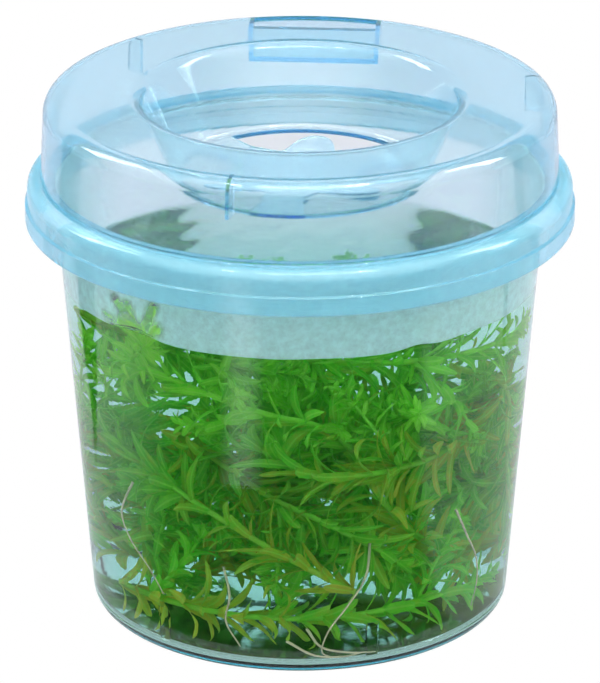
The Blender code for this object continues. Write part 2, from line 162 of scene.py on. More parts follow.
# Twigs that float up under the surface, by shoot: where each one starts, as a share of the shoot's
# length, and how far it reaches across, back and up
SURFACE_TWIGS = {
    12: ((0.97, (-20.0, 28.0, 7.0)),),
    13: ((0.03, (-24.0, 30.0, 8.0)),),
    14: ((0.98, (10.0, 32.0, 8.0)), (0.87, (-8.0, 30.0, 9.0))),
    18: ((0.67, (4.0, 34.0, 6.0)),),
}

# The sprig that stands out of the water: the shoot that it ends, the azimuth, radius and height of its
# foot, and for each leaf the azimuth and height of its tip, and its width
SPRIG_SHOOT = 1
SPRIG_FOOT = (-41.4, 74.4, 112.5)
SPRIG_LEAVES = (
    (-49.2, 127.2, 2.0),
    (-44.9, 126.4, 1.9),
    (-36.6, 128.8, 2.7),
    (-35.6, 121.2, 2.3),
    (-47.4, 120.4, 2.2),
    (-53.5, 119.0, 2.4),
)

# Thin roots near the front wall: azimuths in degrees, and radii and heights in millimetres
ROOT_ROUTES = (
    ((24, 52, 44), (19, 64, 33), (13, 68, 24), (8, 68.5, 16), (6, 67.5, 8), (9, 65, 4.5)),
    ((-57, 60, 56), (-56, 69, 46), (-52, 70, 38), (-45, 69.5, 30), (-40, 69, 22)),
    ((48, 66, 50), (50, 70.5, 41), (55, 70.5, 30), (57, 69, 20), (56, 67, 11)),
    ((2, 60, 14), (6, 66, 9), (14, 67, 6.5), (22, 65, 5)),
    ((-4, 62, 10), (4, 66, 6), (12, 66.5, 5), (18, 63, 4.5)),
    ((-24, 58, 34), (-20, 66, 26), (-21, 67, 17), (-17, 66, 8)),
)

# Points along and across a leaf, and sides of the stems' and the roots' tubes
STATIONS = 10
ACROSS = 5
STEM_SIDES = 7
ROOT_SIDES = 6

# A slanting direction, from which the turns round a stem are counted
SIDEWAYS = np.array((0.31, 0.52, 0.79))

# Area lights: name, place and size in metres, and share of the softboxes' brightness
SOFTBOXES = (
    ("softbox_left", (-1.0, 0.35, 1.0), (0.35, 0.7), 1.0),
    ("softbox_right", (1.1, 0.1, 0.9), (0.25, 0.8), 1.0),
    ("softbox_top", (0.1, -0.5, 1.3), (0.8, 0.3), 0.6),
    ("lamp_front_left", (-0.42, -0.42, 1.25), (0.13, 0.07), 5.0),
    ("lamp_front_right", (0.36, -0.42, 1.25), (0.16, 0.07), 5.0),
)

# Cards on the floor that only mirrors see, which paint reflections: dark cards paint dark reflections, and a
# bright one paints a reflected highlight streak. Each holds a name, rows of a distance from the tub's axis
# in metres and the azimuths that the card spans there, height, brightness, and how wide its two sides fade
# in degrees
REFLECTED_CARDS = (
    # A dark card that paints a dark reflection across the tub's front
    (
        "card_front_painted_dark",
        [(reach, -80.0, 56.0) for reach in (0.083, 0.12, 0.2, 0.4, 1.0, 3.5)],
        0.0008,
        0.05,
        (22.0, 5.0),
    ),
    # Dark cards that paint dark reflected gaps at the tub's two sides
    (
        "card_left_gap",
        [(0.15, -110.0, -109.0), (0.21, -116.0, -108.0), (0.275, -124.0, -105.5), (3.5, -124.0, -105.5)],
        0.0012,
        0.0,
        (1.0, 0.6),
    ),
    (
        "card_right_gap",
        [(0.235, 107.0, 107.6), (0.28, 104.4, 108.6), (0.5, 102.0, 108.6), (3.5, 102.0, 108.6)],
        0.0012,
        0.0,
        (0.4, 0.4),
    ),
    # A glowing card that paints a reflected highlight streak on the tub's front
    (
        "card_painted_highlight_streak",
        [(reach, -34.0, -15.0) for reach in (0.18, 0.22, 0.3, 0.6)],
        0.0016,
        1.7,
        (7.0, 7.0),
    ),
)

# Camera of the photograph
CAMERA_ELEVATION_DEG = 22.2
CAMERA_DISTANCE = 1.822
CAMERA_AIM_HEIGHT_MM = 90.6
CAMERA_LENS_MM = 285.4
SENSOR_MM = 36.0

# Refraction of the clear stuffs
PLASTIC_IOR = 1.49
WATER_IOR = 1.333

WHITE = (1.0, 1.0, 1.0, 1.0)


def linear(code):
    """Linear red, green and blue of an sRGB hex colour."""
    values = [int(code[at : at + 2], 16) / 255.0 for at in (1, 3, 5)]
    return tuple(
        value / 12.92 if value <= 0.04045 else ((value + 0.055) / 1.055) ** 2.4 for value in values
    )


def colour_property(name, description, code):
    """A colour setting whose default is an sRGB hex colour."""
    return FloatVectorProperty(
        name=name, description=description, default=linear(code), size=3, subtype="COLOR", min=0.0, max=1.0
    )


def length_property(name, description, value_mm):
    """A length setting whose default is given in millimetres."""
    return FloatProperty(
        name=name, description=description, default=value_mm * MM, unit="LENGTH", subtype="DISTANCE"
    )


def amount_property(name, description, amount):
    """A setting that is a number from zero up."""
    return FloatProperty(name=name, description=description, default=amount, min=0.0)


class WaterweedPlastic(bpy.types.PropertyGroup):
    """Settings of the tub and its lid."""

    sides: IntProperty(name="Sides", description="Sides of each turned shape", default=168, min=24)
    tub_tint: colour_property("Tub tint", "What the tub's plastic lets through", "#58EEF6")
    tub_density: amount_property("Tub density", "How strongly the tub's plastic tints, per metre", 32.0)
    mist: colour_property("Mist", "Colour of the mist inside the tub above the water", "#DEFFFF")
    lid_tint: colour_property("Lid tint", "What the lid's plastic lets through", "#8CE3FD")
    lid_density: amount_property("Lid density", "How strongly the lid's plastic tints, per metre", 140.0)
    lid_haze: colour_property("Lid haze", "Colour of the haze in the lid's plastic", "#A8F2FF")


class WaterweedWater(bpy.types.PropertyGroup):
    """Settings of the water."""

    rings: IntProperty(name="Rings", description="Rings of faces across the surface", default=64, min=8)
    clearance: length_property("Clearance", "Gap left between the water and the plastic", 0.12)
    ripple: length_property("Ripple", "Height of the ripples", 0.22)
    meniscus: length_property("Meniscus", "How far the water climbs at the wall", 0.7)
    tint: colour_property("Tint", "What the water lets through", "#9FEBD8")
    density: amount_property("Density", "How strongly the water tints, per metre", 10.0)


class WaterweedPlant(bpy.types.PropertyGroup):
    """Settings of the shoots."""

    leaf_length: length_property("Leaf length", "Length of a grown leaf", 17.0)
    leaf_width: length_property("Leaf width", "Width of a grown leaf", 2.9)
    whorl_step: length_property("Whorl step", "Distance between whorls on an old stem", 5.0)
    stem_radius: length_property("Stem radius", "Radius of a stem", 1.0)
    twig_step: length_property("Twig step", "Distance between side twigs", 34.0)
    seed: IntProperty(name="Seed", description="Changes the leaves and twigs", default=7)
    fresh: colour_property("Fresh leaf", "Colour of a leaf near a growing tip", "#A6F650")
    grown: colour_property("Grown leaf", "Colour of a grown leaf", "#82E848")
    old: colour_property("Old leaf", "Colour of an old leaf", "#E2E052")
    root: colour_property("Root", "Colour of the thin roots", "#EADFB8")


class WaterweedStudio(bpy.types.PropertyGroup):
    """Settings of the floor, the lights and the camera."""

    sky: amount_property("Surroundings", "Brightness of the surroundings", 1.0)
    key: amount_property("Overhead light", "Brightness of the overhead light", 3.0)
    softbox: amount_property("Softboxes", "Brightness of the softboxes", 9.0)
    lens: FloatProperty(name="Lens", description="Focal length in millimetres", default=CAMERA_LENS_MM)


def node(material, kind, inputs=None, **settings):
    """Adds one node to a material. Each input is a plain value, or the output that feeds it."""
    tree = material.node_tree
    made = tree.nodes.new(kind)
    for name, value in settings.items():
        setattr(made, name, value)
    for key, value in (inputs or {}).items():
        if isinstance(value, bpy.types.NodeSocket):
            tree.links.new(value, made.inputs[key])
        else:
            made.inputs[key].default_value = value
    return made


def new_material(name):
    """An empty node material."""
    material = bpy.data.materials.new(name)
    material.use_nodes = True
    material.node_tree.nodes.clear()
    return material


def finished(material, surface, inside=None):
    """Joins a surface, and what fills the piece, to the material's output."""
    output = {"Surface": surface}
    if inside is not None:
        output["Volume"] = inside
    node(material, "ShaderNodeOutputMaterial", output)
    return material


def maths(material, operation, *values):
    """The result of one piece of arithmetic."""
    return node(material, "ShaderNodeMath", dict(enumerate(values)), operation=operation).outputs[0]


def ranged(material, value, source, target, **settings):
    """A value carried over from one range to another, and held at its ends."""
    names = ("From Min", "From Max", "To Min", "To Max")
    inputs = {"Value": value, **dict(zip(names, (*source, *target)))}
    return node(material, "ShaderNodeMapRange", inputs, **settings).outputs[0]


def marked(material, name):
    """The value that mark() wrote on the piece under a name."""
    return node(material, "ShaderNodeAttribute", attribute_name=name).outputs["Fac"]


def noise(material, size_mm, detail, roughness=0.5):
    """Noise in the piece's own space, with features of about one size."""
    place = node(material, "ShaderNodeTexCoord").outputs["Object"]
    inputs = {"Vector": place, "Scale": 1.0 / (size_mm * MM), "Detail": detail, "Roughness": roughness}
    return node(material, "ShaderNodeTexNoise", inputs).outputs["Fac"]


def bumped(material, height, depth_mm, strength=1.0, under=None):
    """Surface direction with bumps of a depth, on top of other bumps or of the plain surface."""
    inputs = {"Height": height, "Distance": depth_mm * MM, "Strength": strength}
    if under is not None:
        inputs["Normal"] = under
    return node(material, "ShaderNodeBump", inputs).outputs[0]


def blended(material, share, first, second):
    """A mix of two colours."""
    inputs = {"Factor": share, "A": first, "B": second}
    return node(material, "ShaderNodeMix", inputs, data_type="RGBA").outputs["Result"]


def mixed(material, share, first, second):
    """A mix of two surfaces."""
    return node(material, "ShaderNodeMixShader", {0: share, 1: first, 2: second}).outputs[0]


def principled(material, inputs):
    """A Principled surface."""
    return node(material, "ShaderNodeBsdfPrincipled", inputs).outputs[0]


def moulding_marks(material):
    """Bump of a moulded clear wall: slow waves from the melt's flow, and fine turning lines of the mould."""
    turning_mm = 1.1
    flow = bumped(material, noise(material, size_mm=14.0, detail=1.0, roughness=0.4), depth_mm=0.05)
    place = node(material, "ShaderNodeTexCoord").outputs["Object"]
    x, y, z = node(material, "ShaderNodeSeparateXYZ", {"Vector": place}).outputs
    flat = node(material, "ShaderNodeCombineXYZ", {"X": x, "Y": y}).outputs[0]
    reach = node(material, "ShaderNodeVectorMath", {0: flat}, operation="LENGTH").outputs["Value"]
    climb = maths(material, "ADD", reach, z)
    turning = maths(material, "MULTIPLY", climb, 2.0 * math.pi / (turning_mm * MM))
    return bumped(material, maths(material, "SINE", turning), depth_mm=0.0006, under=flow)


def clear_surface(material, ior, roughness, direction=None):
    """A plain clear surface."""
    inputs = {"Base Color": WHITE, "Transmission Weight": 1.0, "IOR": ior, "Roughness": roughness}
    if direction is not None:
        inputs["Normal"] = direction
    return principled(material, inputs)


def finished_clear(material, surface, tint, density):
    """Joins a clear surface and the absorption inside it to the output."""
    absorption = {"Color": (*tint, 1.0), "Density": density}
    inside = node(material, "ShaderNodeVolumeAbsorption", absorption).outputs[0]
    return finished(material, surface, inside)


def hazed(material, clear, colour, mark_name, least, most, unevenness, speck_mm):
    """A clear surface with a thin speckled haze that scatters light, thicker where a mark is set."""
    even = ranged(material, marked(material, mark_name), (0.0, 1.0), (least, most))
    specks = noise(material, speck_mm, detail=3.0, roughness=0.7)
    uneven = ranged(material, specks, (0.35, 0.65), (1.0 - unevenness, 1.0 + unevenness))
    share = maths(material, "MULTIPLY", even, uneven)
    paint = {"Color": (*colour, 1.0)}
    glow = node(material, "ShaderNodeBsdfTranslucent", paint).outputs[0]
    sheen = node(material, "ShaderNodeBsdfDiffuse", paint).outputs[0]
    return mixed(material, share, clear, mixed(material, 0.5, glow, sheen))


def moulded_blue_styrene(settings):
    """Sky-blue styrene, moulded: glossy, a little cloudy, and bluer the further light runs through it."""
    material = new_material("lid_blue_styrene_moulded")
    clear = clear_surface(material, PLASTIC_IOR, 0.05, moulding_marks(material))
    haze = {"least": 0.07, "most": 0.28, "unevenness": 0.05, "speck_mm": 5.0}
    cloudy = hazed(material, clear, settings.lid_haze, "cloudy", **haze)
    return finished_clear(material, cloudy, settings.lid_tint, settings.lid_density)


def moulded_clear_styrene(settings):
    """Clear styrene with a breath of blue, moulded. Water wets it below, and fine mist clings above."""
    material = new_material("tub_clear_styrene_moulded")
    marks = moulding_marks(material)
    clear = clear_surface(material, PLASTIC_IOR, 0.02, marks)
    mist = {"least": 0.0, "most": 0.90, "unevenness": 0.11, "speck_mm": 2.6}
    dry = hazed(material, clear, settings.mist, "mist", **mist)
    wet = clear_surface(material, PLASTIC_IOR / WATER_IOR, 0.0, marks)
    both = mixed(material, marked(material, "wet"), dry, wet)
    return finished_clear(material, both, settings.tub_tint, settings.tub_density)


def still_water(settings):
    """Water, a little green from the weed. Where it wets the wall, the wall alone bends the light."""
    material = new_material("tub_water_still")
    free = clear_surface(material, WATER_IOR, 0.0)
    held = clear_surface(material, 1.0, 0.0)
    both = mixed(material, marked(material, "wet"), free, held)
    return finished_clear(material, both, settings.tint, settings.density)


def waterweed_leaf(name, settings, age_shift, depth):
    """Leaf of waterweed, two cells thick: light glows through it, with a paler midrib and fine cell rows."""
    material = new_material(name)
    cell_rows_mm = 0.35
    on_leaf = node(material, "ShaderNodeUVMap", uv_map="leaf").outputs[0]
    across = node(material, "ShaderNodeSeparateXYZ", {"Vector": on_leaf}).outputs["Y"]
    patches = noise(material, size_mm=6.0, detail=3.0, roughness=0.6)
    spread = ranged(material, patches, (0.3, 0.7), (-0.22 + age_shift, 0.22 + age_shift))
    age = maths(material, "ADD", marked(material, "age"), spread)
    ramp = node(material, "ShaderNodeValToRGB", {0: age})
    stops = ramp.color_ramp.elements
    stops.new(0.4)
    shades = [[depth * value for value in shade] for shade in (settings.fresh, settings.grown, settings.old)]
    for stop, position, shade in zip(stops, (0.05, 0.4, 0.95), shades):
        stop.position = position
        stop.color = (*shade, 1.0)
    from_rib = maths(material, "ABSOLUTE", maths(material, "SUBTRACT", across, 0.5))
    rib = ranged(material, from_rib, (0.03, 0.14), (0.45, 0.0))
    pale = [min(1.0, 1.5 * value + 0.05) for value in shades[0]]
    colour = blended(material, rib, ramp.outputs[0], (*pale, 1.0))
    rows = maths(material, "MULTIPLY", across, 2.0 * math.pi * settings.leaf_width / (cell_rows_mm * MM))
    ridges = bumped(material, maths(material, "SINE", rows), depth_mm=0.03, strength=0.6)
    skin = {"Base Color": colour, "Roughness": 0.42, "IOR": 1.4, "Specular IOR Level": 0.3, "Normal": ridges}
    glow = node(material, "ShaderNodeBsdfTranslucent", {"Color": colour}).outputs[0]
    return finished(material, mixed(material, 0.56, principled(material, skin), glow))


def root_skin(settings):
    """Root of waterweed: thin, pale and slightly brown in patches."""
    material = new_material("waterweed_root_pale")
    dark = [0.45 * value for value in settings.root]
    patches = noise(material, size_mm=4.0, detail=2.0)
    colour = blended(material, patches, (*settings.root, 1.0), (*dark, 1.0))
    skin = {"Base Color": colour, "Roughness": 0.5, "Specular IOR Level": 0.3}
    return finished(material, principled(material, skin))


def on_azimuth(azimuth_deg, radius, height):
    """The point on an azimuth at a radius and a height."""
    angle = np.radians(azimuth_deg)
    return np.stack([radius * np.sin(angle), -radius * np.cos(angle), height], axis=-1)


def rounded(corners, step_deg=12.0, support_mm=0.25):
    """Outline points from corners, each a radius, a height and the radius of its fillet.

    A fillet becomes an arc, with one more point on the straight stretch at each of its ends, so that
    smooth shading bends only at the arc.
    """
    points = [np.array(corners[0][:2], dtype=float)]
    for before, corner, after in zip(corners, corners[1:], corners[2:]):
        spot = np.array(corner[:2], dtype=float)
        back = np.array(before[:2]) - spot
        ahead = np.array(after[:2]) - spot
        back /= np.linalg.norm(back)
        ahead /= np.linalg.norm(ahead)
        fillet = corner[2]
        half = 0.5 * math.acos(max(-1.0, min(1.0, float(back @ ahead))))
        if fillet == 0.0 or half > math.radians(89.0):
            points.append(spot)
            continue
        trim = fillet / math.tan(half)
        middle = (back + ahead) / np.linalg.norm(back + ahead)
        centre = spot + middle * fillet / math.sin(half)
        start = spot + back * trim - centre
        end = spot + ahead * trim - centre
        swing = math.pi - 2.0 * half
        steps = max(2, math.ceil(math.degrees(swing) / step_deg))
        points.append(centre + start + back * support_mm)
        for step in range(steps + 1):
            share = step / steps
            turn = math.sin((1.0 - share) * swing) * start + math.sin(share * swing) * end
            points.append(centre + turn / math.sin(swing))
        points.append(centre + end + ahead * support_mm)
    points.append(np.array(corners[-1][:2], dtype=float))
    return np.array(points)


def mark(mesh, name, values, domain="FACE"):
    """Writes one value for each face or point under a name that a material can read."""
    layer = mesh.attributes.new(name, "FLOAT", domain)
    layer.data.foreach_set("value", np.asarray(values, dtype=np.float32))


def placed(name, data):
    """A new object in the scene for a mesh, a light or a camera."""
    item = bpy.data.objects.new(name, data)
    bpy.context.scene.collection.objects.link(item)
    return item


def from_shape(name, shape):
    """A new object from a bmesh, which is then let go."""
    mesh = bpy.data.meshes.new(name)
    shape.to_mesh(mesh)
    shape.free()
    return placed(name, mesh)


def grid_faces(rows, columns, around=False):
    """Faces between the points of a grid, whose columns may close to a ring."""
    grid = np.arange(rows * columns).reshape(rows, columns)
    if around:
        grid = np.concatenate([grid, grid[:, :1]], axis=1)
    corners = [grid[:-1, :-1], grid[:-1, 1:], grid[1:, 1:], grid[1:, :-1]]
    return np.stack(corners, axis=2).reshape(-1, 4)


def turned(name, radii_mm, heights_mm, marks=None):
    """A closed turned mesh object from rows of radii and heights, one column a side.

    The first and last rows are points on the axis. marks holds, by name, a value for each band between
    two rows, or a value for each point.
    """
    rows, sides = radii_mm.shape
    rings = on_azimuth(360.0 * np.arange(sides) / sides, radii_mm, heights_mm)[1:-1].reshape(-1, 3)
    poles = [(0.0, 0.0, heights_mm[0, 0]), (0.0, 0.0, heights_mm[-1, 0])]
    points = np.concatenate([rings, poles]) * MM
    first_pole, last_pole = len(points) - 2, len(points) - 1
    here = np.arange(sides)
    there = np.roll(here, -1)
    top = (rows - 3) * sides
    faces = np.stack([np.full(sides, first_pole), there, here], axis=1).tolist()
    faces += grid_faces(rows - 2, sides, around=True).tolist()
    faces += np.stack([top + here, top + there, np.full(sides, last_pole)], axis=1).tolist()
    mesh = bpy.data.meshes.new(name)
    mesh.from_pydata(points.tolist(), [], faces)
    for title, values in (marks or {}).items():
        if values.ndim == 1:
            mark(mesh, title, np.repeat(values, sides))
        else:
            mark(mesh, title, [*values[1:-1].ravel(), values[0, 0], values[-1, 0]], "POINT")
    shape = bmesh.new()
    shape.from_mesh(mesh)
    bmesh.ops.recalc_face_normals(shape, faces=shape.faces)
    shape.to_mesh(mesh)
    shape.free()
    return placed(name, mesh)


def swept(outline, sides):
    """Rows of radii and rows of heights of an outline that is the same all round."""
    return np.repeat(outline[:, :1], sides, axis=1), np.repeat(outline[:, 1:], sides, axis=1)


def block(name, size_mm):
    """A box on the origin."""
    shape = bmesh.new()
    bmesh.ops.create_cube(shape, size=1.0)
    bmesh.ops.scale(shape, vec=[side * MM for side in size_mm], verts=shape.verts)
    return from_shape(name, shape)


def prism(name, outline_mm, thickness_mm):
    """A flat outline with a thickness, centred on its own plane."""
    shape = bmesh.new()
    half = 0.5 * thickness_mm * MM
    lower = [shape.verts.new((x * MM, y * MM, -half)) for x, y in outline_mm]
    face = shape.faces.new(lower)
    raised = bmesh.ops.extrude_face_region(shape, geom=[face])
    upper = [item for item in raised["geom"] if isinstance(item, bmesh.types.BMVert)]
    bmesh.ops.translate(shape, verts=upper, vec=(0.0, 0.0, 2.0 * half))
    bmesh.ops.recalc_face_normals(shape, faces=shape.faces)
    return from_shape(name, shape)


def web(name, section_mm, thickness_mm, azimuth_deg):
    """A flat web that stands on an azimuth. Its section is a list of radii and heights."""
    item = prism(name, section_mm, thickness_mm)
    item.rotation_euler = (math.pi / 2.0, 0.0, math.radians(azimuth_deg - 90.0))
    return item


def combine(item, others, operation):
    """Joins other shapes to an object, or cuts them out of it, for good."""
    for other in others:
        boolean = item.modifiers.new(other.name, "BOOLEAN")
        boolean.object = other
        boolean.operation = operation
        boolean.solver = "EXACT"
    graph = bpy.context.evaluated_depsgraph_get()
    result = bpy.data.meshes.new_from_object(item.evaluated_get(graph))
    item.modifiers.clear()
    item.data = result
    for other in others:
        bpy.data.objects.remove(other, do_unlink=True)


def smooth(item, angle_deg=32.0):
    """Shades an object smooth, but for its sharp edges."""
    item.data.shade_smooth()
    item.data.set_sharp_from_angle(angle=math.radians(angle_deg))


def dress(item, material, slot, *nodes):
    """Gives a piece its material, its body and the nodes it stands for. The slot is not used."""
    item.data.materials.clear()
    item.data.materials.append(material)
    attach(item, "root")
    if nodes:
        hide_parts(*nodes)
    return item


def tub_wall_radius(height_mm):
    """Outer radius of the tub's tapered wall at a height."""
    share = (height_mm - FOOT_ROUND_MM) / (WALL_TOP_HEIGHT_MM - FOOT_ROUND_MM)
    return FOOT_RADIUS_MM + share * (WALL_TOP_RADIUS_MM - FOOT_RADIUS_MM)


def water_edge_height(azimuth_deg):
    """Height at which the water meets the wall. Leaves that touch the wall pull it up in a few places."""
    height = np.full(azimuth_deg.shape, WATER_LEVEL_MM + 0.4)
    for centre, width, rise in PULLED_EDGE:
        offset = (azimuth_deg - centre + 180.0) % 360.0 - 180.0
        height += rise * np.exp(-((offset / width) ** 2))
    turns = np.radians(azimuth_deg)
    return height + 0.12 * np.sin(7.0 * turns + 1.0) + 0.08 * np.sin(17.0 * turns)


def tub_corners():
    """Corners of the tub's section: up the inside, over the rim and down the outside."""
    under_rim = RIM_TOP_MM - WALL_MM
    inside_rim = tub_wall_radius(RIM_TOP_MM) - WALL_MM
    ring_in, ring_out = FOOT_RING_MM
    inside = [
        (0.0, FLOOR_TOP_MM, 0.0),
        (FOOT_RADIUS_MM - WALL_MM - 0.1, FLOOR_TOP_MM, FLOOR_FILLET_MM),
        (inside_rim, RIM_TOP_MM, 0.5),
    ]
    outside = [
        (RIM_REACH_MM, RIM_TOP_MM, 4.0),
        (RIM_REACH_MM, RIM_LIP_BOTTOM_MM, 0.5),
        (RIM_REACH_MM - WALL_MM, RIM_LIP_BOTTOM_MM, 0.5),
        (RIM_REACH_MM - WALL_MM, under_rim, 2.6),
        (tub_wall_radius(under_rim), under_rim, 1.0),
        (FOOT_RADIUS_MM - 0.35, 0.3, 4.8),
        (ring_out, 0.0, 1.5),
        (ring_in, 0.0, 0.3),
        (ring_in - 1.0, FOOT_RECESS_MM, 0.6),
        (0.0, FOOT_RECESS_MM, 0.0),
    ]
    return inside, outside


def lug_section(grown_mm=0.0):
    """Section of a stacking lug, or of the room it takes in the water."""
    in_wall = LUG_RADIUS_MM + 2.0 + 2.0 * grown_mm
    foot = FLOOR_TOP_MM + 1.8 - 2.0 * grown_mm
    face = LUG_RADIUS_MM - grown_mm
    return [
        (face, foot),
        (in_wall, foot),
        (in_wall, LUG_TOP_MM + grown_mm),
        (face + 1.7, LUG_TOP_MM + grown_mm),
        (face, LUG_TOP_MM - LUG_SLOPE_MM + grown_mm),
    ]


def lugs(name, grown_mm=0.0):
    """The stacking lugs, with every face marked as wet."""
    made = []
    for number in range(LUG_COUNT):
        azimuth = LUG_AZIMUTH_DEG + 360.0 * number / LUG_COUNT
        width = LUG_WIDTH_MM + 2.0 * grown_mm
        lug = web(f"{name}_{number + 1}", lug_section(grown_mm), width, azimuth)
        mark(lug.data, "wet", np.ones(len(lug.data.polygons)))
        made.append(lug)
    return made


def mist_cover(azimuth_deg, height_mm):
    """How much mist clings to the wall: none at the back, nor where the sprig's leaves lean."""
    wipe_mm = 2.3
    clear_past_deg = 130.0
    fade_deg = 30.0
    reach = WALL_TOP_RADIUS_MM - WALL_MM
    foot_azimuth, _, foot_height = SPRIG_FOOT
    foot = np.array([reach * math.radians(foot_azimuth), foot_height + 3.0])
    aside = np.radians((azimuth_deg + 180.0) % 360.0 - 180.0) * reach + 0.0 * height_mm
    spot = np.stack([aside, height_mm + 0.0 * azimuth_deg], axis=-1)
    wiped = np.zeros(aside.shape)
    for tip_azimuth, tip_height, _ in SPRIG_LEAVES:
        along = np.array([reach * math.radians(tip_azimuth), tip_height]) - foot
        share = np.clip(((spot - foot) @ along) / (along @ along), 0.0, 1.0)
        away = np.linalg.norm(spot - foot - share[..., None] * along, axis=-1)
        wiped = np.maximum(wiped, np.exp(-((away / wipe_mm) ** 4)))
    from_front = np.abs(aside) * 180.0 / (math.pi * reach)
    return (1.0 - wiped) * np.clip((clear_past_deg - from_front) / fade_deg, 0.0, 1.0)


def build_tub(settings):
    """The tub: one clear moulding, whose inner wall is wet up to the water's edge."""
    sides = 2 * settings.sides
    inside_corners, outside_corners = tub_corners()
    inside = rounded([*inside_corners, outside_corners[0]])[:-1]
    outside = rounded([inside_corners[-1], *outside_corners])[1:]
    last_wet = int(np.nonzero(inside[:, 1] < WATER_LEVEL_MM - 4.0)[0][-1])
    azimuths = 360.0 * np.arange(sides) / sides
    edge = water_edge_height(azimuths)
    climbing = np.arange(math.ceil(edge.max()) + 1.0, RIM_TOP_MM - 6.0, 1.5)
    straight = np.stack([tub_wall_radius(climbing) - WALL_MM, climbing], axis=1)
    above = np.concatenate([straight, inside[last_wet + 1 :]])
    edge_ring = (tub_wall_radius(edge)[None, :] - WALL_MM, edge[None, :])
    rings = [swept(inside[: last_wet + 1], sides), edge_ring]
    rings.append(swept(np.concatenate([above, outside]), sides))
    radii, heights = (np.concatenate(rows) for rows in zip(*rings))
    rows = np.arange(len(radii))
    on_inside = (rows > last_wet) & (rows <= last_wet + len(above))
    misted = on_inside[:, None] * mist_cover(azimuths[None, :], heights)
    tub = turned("tub_moulding", radii, heights, {"wet": rows[:-1] <= last_wet, "mist": misted})
    combine(tub, lugs("lug"), "UNION")
    smooth(tub)
    return dress(tub, moulded_clear_styrene(settings), "tub_plastic", "tub")


def lid_outside():
    """Corners of the lid's outer form: the dish, the top, the dome wall and the skirt's two rings."""
    ring_one = SKIRT_RADIUS_MM - SKIRT_STEP_MM
    return [
        (0.0, DISH_FLOOR_TOP_MM, 0.0),
        (DISH_FLOOR_RADIUS_MM - 0.2, DISH_FLOOR_TOP_MM, 1.4),
        (DISH_FLOOR_RADIUS_MM + 5.6, DISH_FLOOR_TOP_MM + 13.1, 14.0),
        (DISH_RADIUS_MM - 0.7, LID_TOP_MM, 4.5),
        (SHOULDER_RADIUS_MM - 0.1, LID_TOP_MM, 5.5),
        (JUNCTION_RADIUS_MM, JUNCTION_HEIGHT_MM - 0.2, 0.5),
        (ring_one, JUNCTION_HEIGHT_MM - 0.4, 3.6),
        (ring_one, SKIRT_BOTTOM_MM + 6.9, 0.25),
        (SKIRT_RADIUS_MM, SKIRT_BOTTOM_MM + 6.5, 0.35),
        (SKIRT_RADIUS_MM, SKIRT_BOTTOM_MM, 1.3),
        (0.0, SKIRT_BOTTOM_MM, 0.0),
    ]


def lid_inside():
    """Corners of the air under the lid. It ends below the skirt."""
    underside = DISH_FLOOR_TOP_MM - WALL_MM
    ledge_under = RIM_TOP_MM + FIT_GAP_MM
    below_skirt = SKIRT_BOTTOM_MM - 6.0
    return [
        (0.0, underside, 0.0),
        (DISH_FLOOR_RADIUS_MM + 0.8, underside, 2.4),
        (DISH_FLOOR_RADIUS_MM + 7.0, DISH_FLOOR_TOP_MM + 12.7, 14.0),
        (DISH_RADIUS_MM + 0.6, LID_TOP_MM - WALL_MM, 3.0),
        (SHOULDER_RADIUS_MM - WALL_MM - 0.1, LID_TOP_MM - WALL_MM, 4.0),
        (JUNCTION_RADIUS_MM - WALL_MM, ledge_under + WALL_MM, 0.4),
        (LEDGE_RADIUS_MM, ledge_under + WALL_MM, 0.3),
        (LEDGE_RADIUS_MM, ledge_under, 0.3),
        (SKIRT_INSIDE_MM, ledge_under, 3.6),
        (SKIRT_INSIDE_MM, below_skirt, 0.0),
        (0.0, below_skirt, 0.0),
    ]


def notch_block(name, grown_mm):
    """The finger notch's space, sunk in the lid's top at the back, or the same space grown by a wall."""
    outward = 30.0
    upward = 10.0
    depth = outward + grown_mm
    height = NOTCH_DEPTH_MM + upward + grown_mm
    item = block(name, (NOTCH_WIDTH_MM + 2.0 * grown_mm, depth, height))
    angle = math.radians(NOTCH_AZIMUTH_DEG)
    middle_out = (NOTCH_CHORD_MM - grown_mm + depth / 2.0) * MM
    middle_up = (LID_TOP_MM - NOTCH_DEPTH_MM - grown_mm + height / 2.0) * MM
    item.location = (middle_out * math.sin(angle), -middle_out * math.cos(angle), middle_up)
    item.rotation_euler = (0.0, 0.0, angle)
    return item


def vent_outline(centre_deg):
    """One opening between two arms of the star floor: in along the star, and back round the ring."""
    steps = 40
    shares = np.linspace(-1.0, 1.0, steps + 1)
    offsets = VENT_HALF_ANGLE_DEG * shares
    star = VENT_RING_MM * (STAR_MEAN + STAR_SWING * np.cos(np.radians(STAR_POINTS * offsets)))
    ring = np.full(steps + 1, VENT_RING_MM)
    radii = np.concatenate([star, ring])
    azimuths = np.radians(centre_deg + np.concatenate([offsets, offsets[::-1]]))
    return list(zip(radii * np.sin(azimuths), -radii * np.cos(azimuths)))


def gusset_section():
    """Section of a thin four-sided web between the lid's top and its dome wall."""
    in_wall = SHOULDER_RADIUS_MM + 0.25
    inner_end = SHOULDER_RADIUS_MM - 0.5 * WALL_MM - GUSSET_DEPTH_MM
    in_top = LID_TOP_MM - 0.5 * WALL_MM
    foot = in_top - GUSSET_HEIGHT_MM
    return [(inner_end, in_top), (inner_end, foot), (in_wall, foot), (in_wall, in_top)]


def turned_lid_part(name, outline, sides):
    """A turned part of the lid, with the faces of its skirt and its ledge marked as cloudy."""
    middles = 0.5 * (outline[1:] + outline[:-1])
    cloudy = (middles[:, 0] > LEDGE_RADIUS_MM - 1.0) & (middles[:, 1] < JUNCTION_HEIGHT_MM + 1.0)
    return turned(name, *swept(outline, sides), {"cloudy": cloudy})


